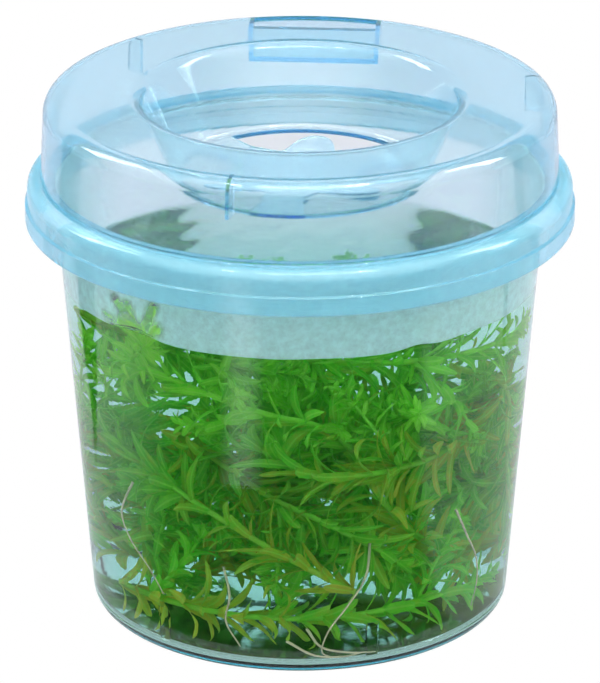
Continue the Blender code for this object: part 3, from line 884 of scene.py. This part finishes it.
def build_lid(settings):
    """The lid: the outer form less the notch, the air under it and the vents in the dish floor."""
    sides = settings.sides
    lid = turned_lid_part("lid_moulding", rounded(lid_outside()), sides)
    air = turned_lid_part("air_under_lid", rounded(lid_inside()), sides)
    gussets = [
        web(f"gusset_{number + 1}", gusset_section(), GUSSET_THICKNESS_MM, azimuth)
        for number, azimuth in enumerate(GUSSET_AZIMUTHS_DEG)
    ]
    combine(air, [notch_block("notch_wall", WALL_MM), *gussets], "DIFFERENCE")
    vents = []
    for number, centre in enumerate(VENT_CENTRES_DEG):
        vent = prism(f"vent_{number + 1}", vent_outline(centre), 10.0)
        vent.location = (0.0, 0.0, DISH_FLOOR_TOP_MM * MM)
        vents.append(vent)
    notch = notch_block("notch", 0.0)
    top, foot = LID_TOP_MM + 2.0 * NOTCH_DEPTH_MM, LID_TOP_MM - 2.0 * NOTCH_DEPTH_MM
    disc = np.array([(0.0, top), (NOTCH_REACH_MM, top), (NOTCH_REACH_MM, foot), (0.0, foot)])
    combine(notch, [turned("notch_reach", *swept(disc, sides))], "INTERSECT")
    combine(lid, [notch, air, *vents], "DIFFERENCE")
    smooth(lid)
    return dress(lid, moulded_blue_styrene(settings), "lid_plastic", "lid")


def ripples(x, y):
    """Height of the ripples at places across the water, in shares of the full height."""
    random = np.random.default_rng(4)
    waves = np.zeros_like(x)
    longest_mm = 34.0
    for length_mm in (longest_mm, 27.0, 21.0, 17.0, 13.0, 10.0, 8.0):
        direction = random.uniform(0.0, 2.0 * math.pi)
        phase = random.uniform(0.0, 2.0 * math.pi)
        run = x * math.cos(direction) + y * math.sin(direction)
        waves += (length_mm / longest_mm) ** 0.9 * np.sin(2.0 * math.pi * run / length_mm + phase)
    return waves


def build_water(settings):
    """The water: one body, with a rippled surface that climbs at the wall, set round the lugs."""
    gap = settings.clearance / MM
    azimuths = 360.0 * np.arange(WATER_SIDES) / WATER_SIDES
    edge_height = water_edge_height(azimuths)
    edge_radius = tub_wall_radius(edge_height) - WALL_MM - gap
    shares = np.linspace(0.0, 1.0, settings.rings + 1) ** 0.8
    radii = shares[:, None] * edge_radius
    waves = ripples(radii * np.sin(np.radians(azimuths)), -radii * np.cos(np.radians(azimuths)))
    from_wall = edge_radius - radii
    heights = WATER_LEVEL_MM + 0.5 * (settings.ripple / MM) * waves * (1.0 - np.exp(-from_wall / 3.0))
    heights += (edge_height - WATER_LEVEL_MM) * np.exp(-from_wall / 2.4)
    heights += settings.meniscus / MM * np.exp(-2.0 * from_wall)
    heights[0, :] = heights[0].mean()
    corners = [
        (tub_wall_radius(WATER_LEVEL_MM) - WALL_MM - gap, WATER_LEVEL_MM, 0.0),
        (FOOT_RADIUS_MM - WALL_MM - 0.1 - gap, FLOOR_TOP_MM + gap, FLOOR_FILLET_MM),
        (0.0, FLOOR_TOP_MM + gap, 0.0),
    ]
    rings = [(radii, heights), swept(rounded(corners)[1:], WATER_SIDES)]
    radii, heights = (np.concatenate(rows) for rows in zip(*rings))
    held = np.arange(len(radii) - 1) >= settings.rings
    water = turned("tub_water", radii, heights, {"wet": held})
    combine(water, lugs("lug_room", gap), "DIFFERENCE")
    smooth(water, 50.0)
    return dress(water, still_water(settings), "water", "water", "water_surface")


def pocket_limits():
    """Lowest and highest height of the pocket that holds the shoots' solids."""
    low = FLOOR_TOP_MM + FIT_GAP_MM + WATER_WALL_MM
    high = WATER_LEVEL_MM - WATER_TOP_SLAB_MM - FIT_GAP_MM
    return low, high


def pocket_radius(heights):
    """Inner radius of that pocket at each height. It narrows towards its floor."""
    narrowed_mm = 3.0
    narrowing_height_mm = 6.0
    low, _ = pocket_limits()
    rounding = np.clip((heights - low) / narrowing_height_mm, 0.0, 1.0)
    plain = tub_wall_radius(heights) - WALL_MM - FIT_GAP_MM - WATER_WALL_MM
    return plain - narrowed_mm * (1.0 - rounding)


def between(ends, share):
    """The value at a share of the way from one end to the other."""
    return ends[0] + (ends[1] - ends[0]) * share


def run_of(line):
    """How far along a line each of its points lies."""
    return np.concatenate([[0.0], np.cumsum(np.linalg.norm(np.diff(line, axis=0), axis=1))])


def read_at(spots, marks, vectors):
    """Vectors given at marks along a line, read at other spots."""
    return np.stack([np.interp(spots, marks, vectors[:, axis]) for axis in range(3)], axis=-1)


def first_route(azimuths, radii, heights, bow):
    """A shoot's route before it has settled, as points at an even step."""
    share = np.linspace(0.0, 1.0, ROUTE_POINTS)
    swell = np.sin(math.pi * share)
    radius = between(radii, share) + bow[1] * swell
    line = on_azimuth(between(azimuths, share), radius, between(heights, share) + bow[0] * swell)
    along = run_of(line)
    marks = np.arange(int(along[-1] / ROUTE_STEP_MM) + 1) * ROUTE_STEP_MM
    return read_at(marks, along, line)


def keep_in_pocket(points):
    """Moves points that are too near the pocket's wall, floor or top back inside."""
    margin = SHOOT_RADIUS_MM + WALL_CLEARANCE_MM
    low, high = pocket_limits()
    points[:, 2] = np.clip(points[:, 2], low + margin, high - margin)
    reach = np.hypot(points[:, 0], points[:, 1])
    limit = pocket_radius(points[:, 2]) - margin
    shrink = np.minimum(1.0, limit / np.maximum(reach, 0.001))
    points[:, :2] *= shrink[:, None]


def settled_routes():
    """The shoots' routes after they have pushed each other apart, each as an array of points."""
    push, straightening, stretching = 0.22, 0.3, 0.25
    routes = [first_route(*row) for row in SHOOT_ROUTES]
    owner = np.concatenate([np.full(len(route), at) for at, route in enumerate(routes)])
    order = np.concatenate([np.arange(len(route)) for route in routes])
    points = np.concatenate(routes)
    same = owner[:, None] == owner[None, :]
    near_along = np.abs(order[:, None] - order[None, :]) * ROUTE_STEP_MM < 2.2 * SPACING_MM
    ignored = same & near_along
    linked = owner[1:] == owner[:-1]
    inner = np.zeros(len(points), dtype=bool)
    inner[1:-1] = linked[1:] & linked[:-1]
    at_inner = np.nonzero(inner)[0]
    at_link = np.nonzero(linked)[0]
    for _ in range(SETTLE_ROUNDS):
        apart = points[:, None, :] - points[None, :, :]
        distance = np.sqrt((apart * apart).sum(axis=2)) + 0.001
        overlap = np.where(ignored, 0.0, np.maximum(0.0, SPACING_MM - distance))
        points += push * ((overlap / distance)[:, :, None] * apart).sum(axis=1)
        middle = 0.5 * (points[at_inner - 1] + points[at_inner + 1])
        points[at_inner] += straightening * (middle - points[at_inner])
        for _ in range(4):
            link = points[at_link + 1] - points[at_link]
            length = np.sqrt((link * link).sum(axis=1))[:, None]
            move = stretching * link * (1.0 - ROUTE_STEP_MM / length)
            np.add.at(points, at_link, move)
            np.add.at(points, at_link + 1, -move)
        keep_in_pocket(points)
    return [points[owner == at] for at in range(len(routes))]


def unit(vectors):
    """The vectors at length one."""
    return vectors / np.maximum(np.linalg.norm(vectors, axis=-1, keepdims=True), 1e-9)


def smooth_line(points, step_mm):
    """A smooth curve through points: points at an even step, their directions and how far along they are."""
    before = np.concatenate([[2.0 * points[0] - points[1]], points[:-1]])
    after = np.concatenate([points[1:], [2.0 * points[-1] - points[-2]]])
    tangents = 0.5 * (after - before)
    share = np.linspace(0.0, 1.0, 12, endpoint=False)[:, None]
    squares, cubes = share**2, share**3
    pieces = [
        (2.0 * cubes - 3.0 * squares + 1.0) * points[at]
        + (cubes - 2.0 * squares + share) * tangents[at]
        + (3.0 * squares - 2.0 * cubes) * points[at + 1]
        + (cubes - squares) * tangents[at + 1]
        for at in range(len(points) - 1)
    ]
    line = np.concatenate([*pieces, points[-1:]])
    along = run_of(line)
    marks = np.linspace(0.0, along[-1], max(3, int(along[-1] / step_mm) + 1))
    even = read_at(marks, along, line)
    return even, unit(np.gradient(even, axis=0)), marks


def squared_off(directions, others):
    """Unit vectors square to the directions, near the others."""
    along = (others * directions).sum(axis=-1, keepdims=True) * directions
    return unit(others - along)


def blade_outline(share):
    """Half width of a leaf along its length, with 1 at its widest."""
    outline = (share + 0.10) ** 0.42 * (1.02 - share) ** 0.62
    return outline / outline.max()


def sprig_blades(foot):
    """Points of the leaves that rise out of the water from the sprig's foot and lean on the wall."""
    azimuth, height, width = np.transpose(SPRIG_LEAVES)
    tips = on_azimuth(azimuth, tub_wall_radius(height) - WALL_MM - 0.7, height)
    share = np.linspace(0.0, 1.0, STATIONS)
    midrib = foot + share[None, :, None] * (tips - foot)[:, None, :]
    outward = unit(tips * np.array([1.0, 1.0, 0.0]))
    bulge = 1.1 * np.sin(math.pi * share)
    midrib = midrib - bulge[None, :, None] * outward[:, None, :]
    across = unit(np.cross(unit(tips - foot), outward))
    turned_in = np.linspace(0.5, -0.5, len(tips))
    flat = unit(across + turned_in[:, None] * outward)
    place = np.linspace(-1.0, 1.0, ACROSS)
    half_width = 0.5 * width[:, None] * blade_outline(share)
    sideways = (half_width[:, :, None] * place)[..., None] * flat[:, None, None, :]
    cupped = (0.3 * half_width[:, :, None] * np.abs(place))[..., None] * outward[:, None, None, :]
    return midrib[:, :, None, :] + sideways - cupped


def leaf_blades(base, up, out, length, width, random):
    """Points of many leaves, as an array of leaf, station along, place across and axis.

    A leaf leaves the stem at a slant, arches outwards, and is folded lightly along its midrib.
    """
    count = len(base)
    up, out = up[:, None, :], out[:, None, :]
    lean = np.radians(random.uniform(20.0, 64.0, (count, 1)))
    arch = np.radians(random.uniform(5.0, 84.0, (count, 1)))
    bow = np.radians(random.uniform(-38.0, 38.0, (count, 1)))
    twist = np.radians(random.uniform(-42.0, 42.0, (count, 1)))
    fold = random.uniform(0.04, 0.26, (count, 1, 1))
    share = np.linspace(0.0, 1.0, STATIONS)
    angle = (lean + arch * share**1.25)[..., None]
    sideways = (bow * share)[..., None]
    run = np.cos(angle) * np.cos(sideways) * up + np.sin(angle) * np.cos(sideways) * out
    run = run + np.sin(sideways) * np.cross(up, out)
    face = np.sin(angle) * up - np.cos(angle) * out
    turn = (twist * share**1.5)[..., None]
    flat = np.cos(turn) * np.cross(run, face) + np.sin(turn) * face
    raised = np.cross(flat, run)
    steps = np.zeros((count, STATIONS, 3))
    steps[:, 1:] = 0.5 * (run[:, 1:] + run[:, :-1]) * (length / (STATIONS - 1))[:, None, None]
    midrib = base[:, None, :] + np.cumsum(steps, axis=1)
    half_width = (0.5 * width[:, None] * blade_outline(share))[..., None]
    waves = random.uniform(5.0, 12.0, (count, 1))
    phase = random.uniform(0.0, 6.0, (count, 1))
    wave = 0.12 * np.sin(share * waves + phase)[..., None]
    place = np.linspace(-1.0, 1.0, ACROSS)
    aside = (half_width * place)[..., None] * flat[:, :, None, :]
    lifted = (half_width * (np.abs(place) * fold + place * wave))[..., None] * raised[:, :, None, :]
    return midrib[:, :, None, :] + aside + lifted


def pressed(values, start, soft):
    """Values past a start, pressed together so that they stay within a soft margin of it."""
    return np.where(values > start, start + soft * (1.0 - np.exp((start - values) / soft)), values)


def settle_in_water(points, slack):
    """Presses leaf points softly against the wall, the floor and the water's surface from within."""
    soft = 3.0
    floor = FLOOR_TOP_MM + 0.5 + slack
    top = WATER_LEVEL_MM - 0.7 - 0.6 * slack
    height = -pressed(-points[..., 2], -(floor + soft), soft)
    height = pressed(height, top - soft, soft)
    points[..., 2] = height
    reach = np.hypot(points[..., 0], points[..., 1])
    above_floor = (height - FLOOR_TOP_MM) / FLOOR_FILLET_MM
    corner = FLOOR_FILLET_MM * np.clip(1.0 - above_floor, 0.0, 1.0) ** 2
    start = tub_wall_radius(height) - WALL_MM - 0.45 - slack - corner - soft
    pulled_in = pressed(reach, start, soft) / np.maximum(reach, 0.001)
    points[..., :2] *= np.where(reach > start, pulled_in, 1.0)[..., None]
    return points


def tube(line, directions, radii, ring):
    """Points and faces of a tube along a line, closed at both ends."""
    start = squared_off(directions, SIDEWAYS)
    other = np.cross(directions, start)
    turns = (2.0 * math.pi * np.arange(ring) / ring)[None, :, None]
    spokes = np.cos(turns) * start[:, None, :] + np.sin(turns) * other[:, None, :]
    points = (line[:, None, :] + radii[:, None, None] * spokes).reshape(-1, 3)
    last = len(points) - ring
    ends = [list(range(ring))[::-1], list(range(last, last + ring))]
    return points, grid_faces(len(line), ring, around=True).tolist() + ends


def joined(parts):
    """Several shapes as one. Each is a pair of points and faces."""
    points = []
    faces = []
    total = 0
    for part_points, part_faces in parts:
        points.append(part_points)
        faces += [[at + total for at in face] for face in part_faces]
        total += len(part_points)
    return np.concatenate(points), faces


def growth_mesh(name, parts_mm):
    """A smooth mesh of several shapes in millimetres."""
    points, faces = joined(parts_mm)
    mesh = bpy.data.meshes.new(name)
    mesh.from_pydata((points * MM).tolist(), [], faces)
    mesh.shade_smooth()
    return mesh


class Growth:
    """The leaves and stems of one shoot, as they are grown."""

    def __init__(self):
        self.leaves = []
        self.leaf_ages = []
        self.stems = []
        self.stem_ages = []

    def add_leaves(self, points, ages):
        self.leaves.append(points)
        self.leaf_ages.append(ages)

    def add_stem(self, line, directions, radii, ages):
        self.stems.append(tube(line, directions, radii, STEM_SIDES))
        self.stem_ages.append(ages)


def grow_leaves(growth, line, directions, marks, reach_mm, settings, random, youth_shift=0.0):
    """Whorls of leaves along a stem, closer together and shorter towards its growing tip."""
    total = marks[-1]
    step = settings.whorl_step / MM * random.uniform(0.95, 1.45)
    spots = [0.8]
    while spots[-1] < total - 0.4:
        to_tip = total - spots[-1]
        spots.append(spots[-1] + step * min(1.0, 0.26 + to_tip / 26.0) * random.uniform(0.86, 1.16))
    spots = np.minimum(np.array(spots), total)
    per_whorl = random.choice((3, 4, 4, 5), len(spots))
    whorl = np.repeat(np.arange(len(spots)), per_whorl)
    number = np.concatenate([np.arange(count) for count in per_whorl])
    place = spots[whorl]
    count = len(place)
    up = unit(read_at(place, marks, directions))
    start = squared_off(up, SIDEWAYS)
    phase = 2.4 * whorl + 2.0 * math.pi * number / per_whorl[whorl]
    phase = (phase + random.normal(0.0, 0.28, count))[:, None]
    out = np.cos(phase) * start + np.sin(phase) * np.cross(up, start)
    stem = read_at(place, marks, line)
    to_tip = total - place
    grown = np.clip(0.30 + to_tip / 30.0, 0.0, 1.0)
    length = reach_mm * grown * random.uniform(0.78, 1.22, count)
    broad = 1.0 + 0.25 * (1.0 - stem[:, 2] / WATER_LEVEL_MM)
    width = settings.leaf_width / MM * broad * (0.55 + 0.45 * grown) * random.uniform(0.8, 1.18, count)
    base = stem + 0.6 * settings.stem_radius / MM * out
    keep = random.uniform(0.0, 1.0, count) > 0.04
    points = leaf_blades(base[keep], up[keep], out[keep], length[keep], width[keep], random)
    slack = random.uniform(0.0, 1.8, keep.sum())[:, None, None]
    points = settle_in_water(points, slack)
    height_age = 0.42 * (1.0 - base[keep][:, 2] / WATER_LEVEL_MM)
    age = 0.62 * np.clip(to_tip[keep] / 110.0, 0.0, 1.0) + height_age - youth_shift
    age = age + random.normal(0.0, 0.09, len(age))
    growth.add_leaves(points, np.clip(age, 0.0, 1.0))


def room_at(tip, crowd):
    """How far a twig's tip is from the shoots, the wall, the floor and the empty space, at the least."""
    wall = tub_wall_radius(tip[2]) - WALL_MM - 4.0 - np.hypot(tip[0], tip[1])
    return min(
        float(np.linalg.norm(crowd - tip, axis=1).min()),
        1.2 * (wall + 6.0),
        tip[2] - FLOOR_TOP_MM,
        WATER_LEVEL_MM - tip[2],
        EMPTY_ABOVE_MM - tip[2] if tip[1] > 0.0 else math.inf,
    )


def grow_twigs(growth, line, directions, marks, crowd, settings, random):
    """Short side twigs that grow from a stem towards the emptiest side."""
    step = settings.twig_step / MM
    spot = random.uniform(0.2, 0.7) * step
    while spot < marks[-1] - 14.0:
        base = read_at(spot, marks, line)
        up = unit(read_at(spot, marks, directions))
        reach = random.uniform(22.0, 40.0)
        best, best_room = None, -1.0
        for _ in range(9):
            out = squared_off(up, random.normal(0.0, 1.0, 3))
            heading = unit(0.55 * up + 0.9 * out + np.array([0.0, 0.0, 0.25]))
            room = room_at(base + reach * heading, crowd)
            if room > best_room:
                best, best_room = heading, room
        if best_room > 4.0:
            bend = unit(best + random.normal(0.0, 0.25, 3))
            path = np.array([base, base + 0.5 * reach * best, base + 0.5 * reach * (best + bend)])
            grow_one_twig(growth, path, settings, random)
        spot += step * random.uniform(0.7, 1.4)


def grow_one_twig(growth, path, settings, random):
    """One side twig along a path, thinner towards its tip, with its leaves."""
    twig, directions, marks = smooth_line(path, 2.0)
    twig = settle_in_water(twig, 3.0)
    radii = settings.stem_radius / MM * np.linspace(0.75, 0.4, len(twig))
    growth.add_stem(twig, directions, radii, np.linspace(0.45, 0.1, len(twig)))
    length = settings.leaf_length / MM * 0.82
    grow_leaves(growth, twig, directions, marks, length, settings, random, 0.05)


def shoot_mesh(name, growth):
    """One mesh of a shoot's leaves and stems, with its leaf places and ages."""
    leaves = np.concatenate(growth.leaves)
    on_leaf = STATIONS * ACROSS
    leaf_faces = grid_faces(STATIONS, ACROSS) + (np.arange(len(leaves)) * on_leaf)[:, None, None]
    mesh = growth_mesh(name, [(leaves.reshape(-1, 3), leaf_faces.reshape(-1, 4).tolist()), *growth.stems])
    leaf_ages = np.repeat(np.concatenate(growth.leaf_ages), on_leaf)
    stem_ages = np.repeat(np.concatenate(growth.stem_ages), STEM_SIDES)
    mark(mesh, "age", np.concatenate([leaf_ages, stem_ages]), "POINT")
    shares = [np.linspace(0.0, 1.0, count) for count in (STATIONS, ACROSS)]
    places = np.stack(np.meshgrid(*shares, indexing="ij"), axis=2).reshape(-1, 2)
    spots = np.concatenate([np.tile(places, (len(leaves), 1)), np.full((len(stem_ages), 2), 0.5)])
    corners = np.zeros(len(mesh.loops), dtype=np.int32)
    mesh.loops.foreach_get("vertex_index", corners)
    layer = mesh.uv_layers.new(name="leaf")
    layer.data.foreach_set("uv", spots[corners].astype(np.float32).ravel())
    return mesh


def build_shoots(settings):
    """Every shoot of waterweed, each one mesh of stem, twigs and whorls of leaves."""
    random = np.random.default_rng(settings.seed)
    routes = settled_routes()
    crowd = np.concatenate(routes)
    young = waterweed_leaf("waterweed_leaf_young", settings, age_shift=-0.08, depth=1.0)
    older = waterweed_leaf("waterweed_leaf_older", settings, age_shift=0.08, depth=0.88)
    for number, route in enumerate(routes, 1):
        growth = Growth()
        if number == SPRIG_SHOOT:
            foot = on_azimuth(*SPRIG_FOOT)
            route = np.concatenate([route, [0.5 * (route[-1] + foot), foot]])
            growth.add_leaves(sprig_blades(foot), np.full(len(SPRIG_LEAVES), 0.12))
        line, directions, marks = smooth_line(route, 1.5)
        taper = np.interp(marks, [0.0, marks[-1] - 25.0, marks[-1]], [1.1, 0.95, 0.5])
        radii = settings.stem_radius / MM * taper
        growth.add_stem(line, directions, radii, np.linspace(0.7, 0.15, len(line)))
        length = settings.leaf_length / MM * random.uniform(0.84, 1.2)
        grow_leaves(growth, line, directions, marks, length, settings, random)
        grow_twigs(growth, line, directions, marks, crowd, settings, random)
        for share, reach in SURFACE_TWIGS.get(number, ()):
            start = line[int(share * (len(line) - 1))]
            path = start + np.array([(0.0, 0.0, 0.0), 0.5 * np.array(reach) + (0.0, 0.0, 2.0), reach])
            grow_one_twig(growth, path, settings, random)
        name = f"waterweed_shoot_{number:02d}"
        item = placed(name, shoot_mesh(name, growth))
        leaf, slot = (older, "old_leaf") if number % 2 == 0 else (young, "young_leaf")
        dress(item, leaf, slot, f"shoot_{number:02d}")


def build_roots(settings):
    """Thin pale roots that run down from the shoots to the floor of the tub."""
    root_radius_mm = 0.42
    roots = []
    for route in ROOT_ROUTES:
        line, directions, _ = smooth_line(on_azimuth(*np.transpose(route)), 1.5)
        radii = root_radius_mm * np.linspace(1.2, 0.6, len(line))
        roots.append(tube(line, directions, radii, ROOT_SIDES))
    item = placed("waterweed_roots", growth_mesh("waterweed_roots", roots))
    dress(item, root_skin(settings), "old_leaf")


def glowing(name, strength, soft=False):
    """A plain white glowing stage material, fading out where its cover mark does."""
    material = new_material(name)
    surface = node(material, "ShaderNodeEmission", {"Color": WHITE, "Strength": strength}).outputs[0]
    if soft:
        gone = node(material, "ShaderNodeBsdfTransparent").outputs[0]
        surface = mixed(material, marked(material, "cover"), gone, surface)
    return finished(material, surface)


def hide_from(item, *rays):
    """Hides a piece of the stage from some kinds of ray."""
    for ray in rays:
        setattr(item, f"visible_{ray}", False)


def reflected_card(name, rows, height_m, strength, edges_deg):
    """A card lying on the floor that only mirrors see, a painted reflection that fades out towards its two
    sides.

    Each row holds a distance from the tub's axis in metres and the azimuths between which the card lies.
    """
    columns = 41
    shares = np.linspace(0.0, 1.0, columns)
    points = []
    cover = []
    for reach, *ends in rows:
        across = between(ends, shares)
        points += on_azimuth(across, reach, np.full(columns, height_m)).tolist()
        rise = (across - ends[0]) / edges_deg[0]
        fall = (ends[1] - across) / edges_deg[1]
        cover += np.clip(np.minimum(rise, fall), 0.0, 1.0).tolist()
    mesh = bpy.data.meshes.new(name)
    mesh.from_pydata(points, [], grid_faces(len(rows), columns).tolist())
    mark(mesh, "cover", cover, "POINT")
    mesh.materials.append(glowing(name, strength, soft=True))
    card = placed(name, mesh)
    hide_from(card, "camera", "diffuse", "transmission", "shadow", "volume_scatter")


def softbox(name, place_m, size_m, radiance):
    """An area light at a place, facing the tub, with its brightness given as radiance."""
    light = bpy.data.lights.new(name, "AREA")
    light.shape = "RECTANGLE"
    light.size, light.size_y = size_m
    light.energy = radiance * math.pi * size_m[0] * size_m[1]
    item = placed(name, light)
    item.location = place_m
    facing = Vector((0.0, 0.0, 0.12)) - Vector(place_m)
    item.rotation_euler = facing.to_track_quat("-Z", "Y").to_euler()


def studio_light(settings):
    """Pale surroundings that grow brighter towards a large soft light overhead and in front."""
    world = bpy.data.worlds.new("studio")
    world.use_nodes = True
    background = world.node_tree.nodes["Background"]
    direction = node(world, "ShaderNodeTexCoord").outputs["Generated"]
    inputs = {0: direction, 1: (0.0, -0.45, 0.89)}
    towards = node(world, "ShaderNodeVectorMath", inputs, operation="DOT_PRODUCT").outputs["Value"]
    light = ranged(world, towards, (0.35, 0.95), (0.0, 1.0), interpolation_type="SMOOTHSTEP")
    overhead = (settings.key, settings.key, settings.key, 1.0)
    colour = blended(world, light, (0.80, 0.81, 0.88, 1.0), overhead)
    world.node_tree.links.new(colour, background.inputs["Color"])
    background.inputs["Strength"].default_value = settings.sky
    return world


def build_backdrop():
    """A white dome round the whole studio, seen by the camera alone."""
    shape = bmesh.new()
    bmesh.ops.create_uvsphere(shape, u_segments=32, v_segments=16, radius=6.0)
    backdrop = from_shape("backdrop", shape)
    backdrop.data.materials.append(glowing("backdrop_white", 1.0))
    hide_from(backdrop, "diffuse", "glossy", "transmission", "shadow", "volume_scatter")


def build_floor():
    """The pale floor, with a painted teal glow where the tub stands: a pool of light that stands in for
    light through the tub and lights it from below. The camera sees the backdrop in its place.
    """
    half = 4.0
    corners = [(-half, -half, 0), (half, -half, 0), (half, half, 0), (-half, half, 0)]
    mesh = bpy.data.meshes.new("floor")
    mesh.from_pydata(corners, [], [(0, 1, 2, 3)])
    material = new_material("floor_paper_with_painted_glow")
    place = node(material, "ShaderNodeTexCoord").outputs["Object"]
    reach = node(material, "ShaderNodeVectorMath", {0: place}, operation="LENGTH").outputs["Value"]
    grain = node(material, "ShaderNodeTexNoise", {"Scale": 400.0, "Detail": 2.0}).outputs["Fac"]
    paper_and_painted_glow = {
        "Base Color": (0.34, 0.335, 0.365, 1.0),
        "Roughness": 0.9,
        "Specular IOR Level": 0.1,
        "Normal": bumped(material, grain, depth_mm=0.1, strength=0.2),
        # Painted glow: a teal pool of light on the floor round the tub's foot, fading out by 0.16 m from the
        # axis
        "Emission Color": (0.50, 0.72, 0.66, 1.0),
        "Emission Strength": ranged(material, reach, (0.075, 0.16), (0.45, 0.0)),
    }
    mesh.materials.append(finished(material, principled(material, paper_and_painted_glow)))
    floor = placed("floor", mesh)
    hide_from(floor, "camera")


def build_camera(settings):
    """The camera, where the photograph was taken from."""
    camera = bpy.data.cameras.new("photo_camera")
    camera.lens = settings.lens
    camera.sensor_width = SENSOR_MM
    camera.sensor_fit = "AUTO"
    item = placed("photo_camera", camera)
    tilt = math.radians(CAMERA_ELEVATION_DEG)
    height = CAMERA_AIM_HEIGHT_MM * MM + CAMERA_DISTANCE * math.sin(tilt)
    item.location = (0.0, -CAMERA_DISTANCE * math.cos(tilt), height)
    item.rotation_euler = (math.pi / 2.0 - tilt, 0.0, 0.0)
    bpy.context.scene.camera = item


def build_studio(settings):
    """Floor, white surroundings, softboxes, reflected cards and camera."""
    scene = bpy.context.scene
    scene.world = studio_light(settings)
    build_floor()
    build_backdrop()
    for name, place_m, size_m, share in SOFTBOXES:
        softbox(name, place_m, size_m, share * settings.softbox)
    for name, rows, height_m, strength, edges_deg in REFLECTED_CARDS:
        reflected_card(name, rows, height_m, strength, edges_deg)
    build_camera(settings)
    scene.view_settings.view_transform = "Standard"
    scene.cycles.max_bounces = 12
    scene.cycles.transmission_bounces = 10
    scene.cycles.diffuse_bounces = 2
    scene.cycles.glossy_bounces = 6
    scene.cycles.adaptive_threshold = 0.3


class WATERWEED_OT_tub(bpy.types.Operator):
    """Turn the clear tub with its rim, its foot and its stacking lugs"""

    bl_idname = "waterweed.tub"
    bl_label = "Tub"

    def execute(self, context):
        build_tub(context.scene.waterweed_plastic)
        return {"FINISHED"}


class WATERWEED_OT_lid(bpy.types.Operator):
    """Turn the blue lid, and cut its notch and vents"""

    bl_idname = "waterweed.lid"
    bl_label = "Lid"

    def execute(self, context):
        build_lid(context.scene.waterweed_plastic)
        return {"FINISHED"}


class WATERWEED_OT_water(bpy.types.Operator):
    """Fill the tub with water"""

    bl_idname = "waterweed.water"
    bl_label = "Water"

    def execute(self, context):
        build_water(context.scene.waterweed_water)
        return {"FINISHED"}


class WATERWEED_OT_shoots(bpy.types.Operator):
    """Grow the shoots with their twigs and leaves"""

    bl_idname = "waterweed.shoots"
    bl_label = "Shoots"

    def execute(self, context):
        build_shoots(context.scene.waterweed_plant)
        return {"FINISHED"}


class WATERWEED_OT_roots(bpy.types.Operator):
    """Grow the thin roots"""

    bl_idname = "waterweed.roots"
    bl_label = "Roots"

    def execute(self, context):
        build_roots(context.scene.waterweed_plant)
        return {"FINISHED"}


class WATERWEED_OT_studio(bpy.types.Operator):
    """Set up the floor, the lights and the camera"""

    bl_idname = "waterweed.studio"
    bl_label = "Studio"

    def execute(self, context):
        build_studio(context.scene.waterweed_studio)
        return {"FINISHED"}


class WATERWEED_PT_pieces(bpy.types.Panel):
    """Lists the pieces and their settings"""

    bl_idname = "WATERWEED_PT_pieces"
    bl_label = "Waterweed tub"
    bl_space_type = "VIEW_3D"
    bl_region_type = "UI"
    bl_category = "Waterweed"

    def draw(self, context):
        for piece in PIECES:
            self.layout.operator(piece.bl_idname)
        for name in SETTINGS:
            group = getattr(context.scene, name)
            box = self.layout.box()
            for key in group.bl_rna.properties.keys():
                if key not in ("rna_type", "name"):
                    box.prop(group, key)


PIECES = (
    WATERWEED_OT_studio,
    WATERWEED_OT_tub,
    WATERWEED_OT_lid,
    WATERWEED_OT_water,
    WATERWEED_OT_shoots,
    WATERWEED_OT_roots,
)
SETTINGS = {
    "waterweed_plastic": WaterweedPlastic,
    "waterweed_water": WaterweedWater,
    "waterweed_plant": WaterweedPlant,
    "waterweed_studio": WaterweedStudio,
}


def register():
    """Registers the settings, the operators and the panel."""
    for item in (*SETTINGS.values(), *PIECES, WATERWEED_PT_pieces):
        bpy.utils.register_class(item)
    for name, group in SETTINGS.items():
        setattr(bpy.types.Scene, name, PointerProperty(type=group))


def unregister():
    """Takes them out again."""
    for name in SETTINGS:
        delattr(bpy.types.Scene, name)
    for item in reversed((*SETTINGS.values(), *PIECES, WATERWEED_PT_pieces)):
        bpy.utils.unregister_class(item)


def main():
    """Builds every piece and the studio."""
    register()
    bpy.ops.waterweed.studio()
    bpy.ops.waterweed.tub()
    bpy.ops.waterweed.lid()
    bpy.ops.waterweed.water()
    bpy.ops.waterweed.shoots()
    bpy.ops.waterweed.roots()


if __name__ == "__main__":
    main()
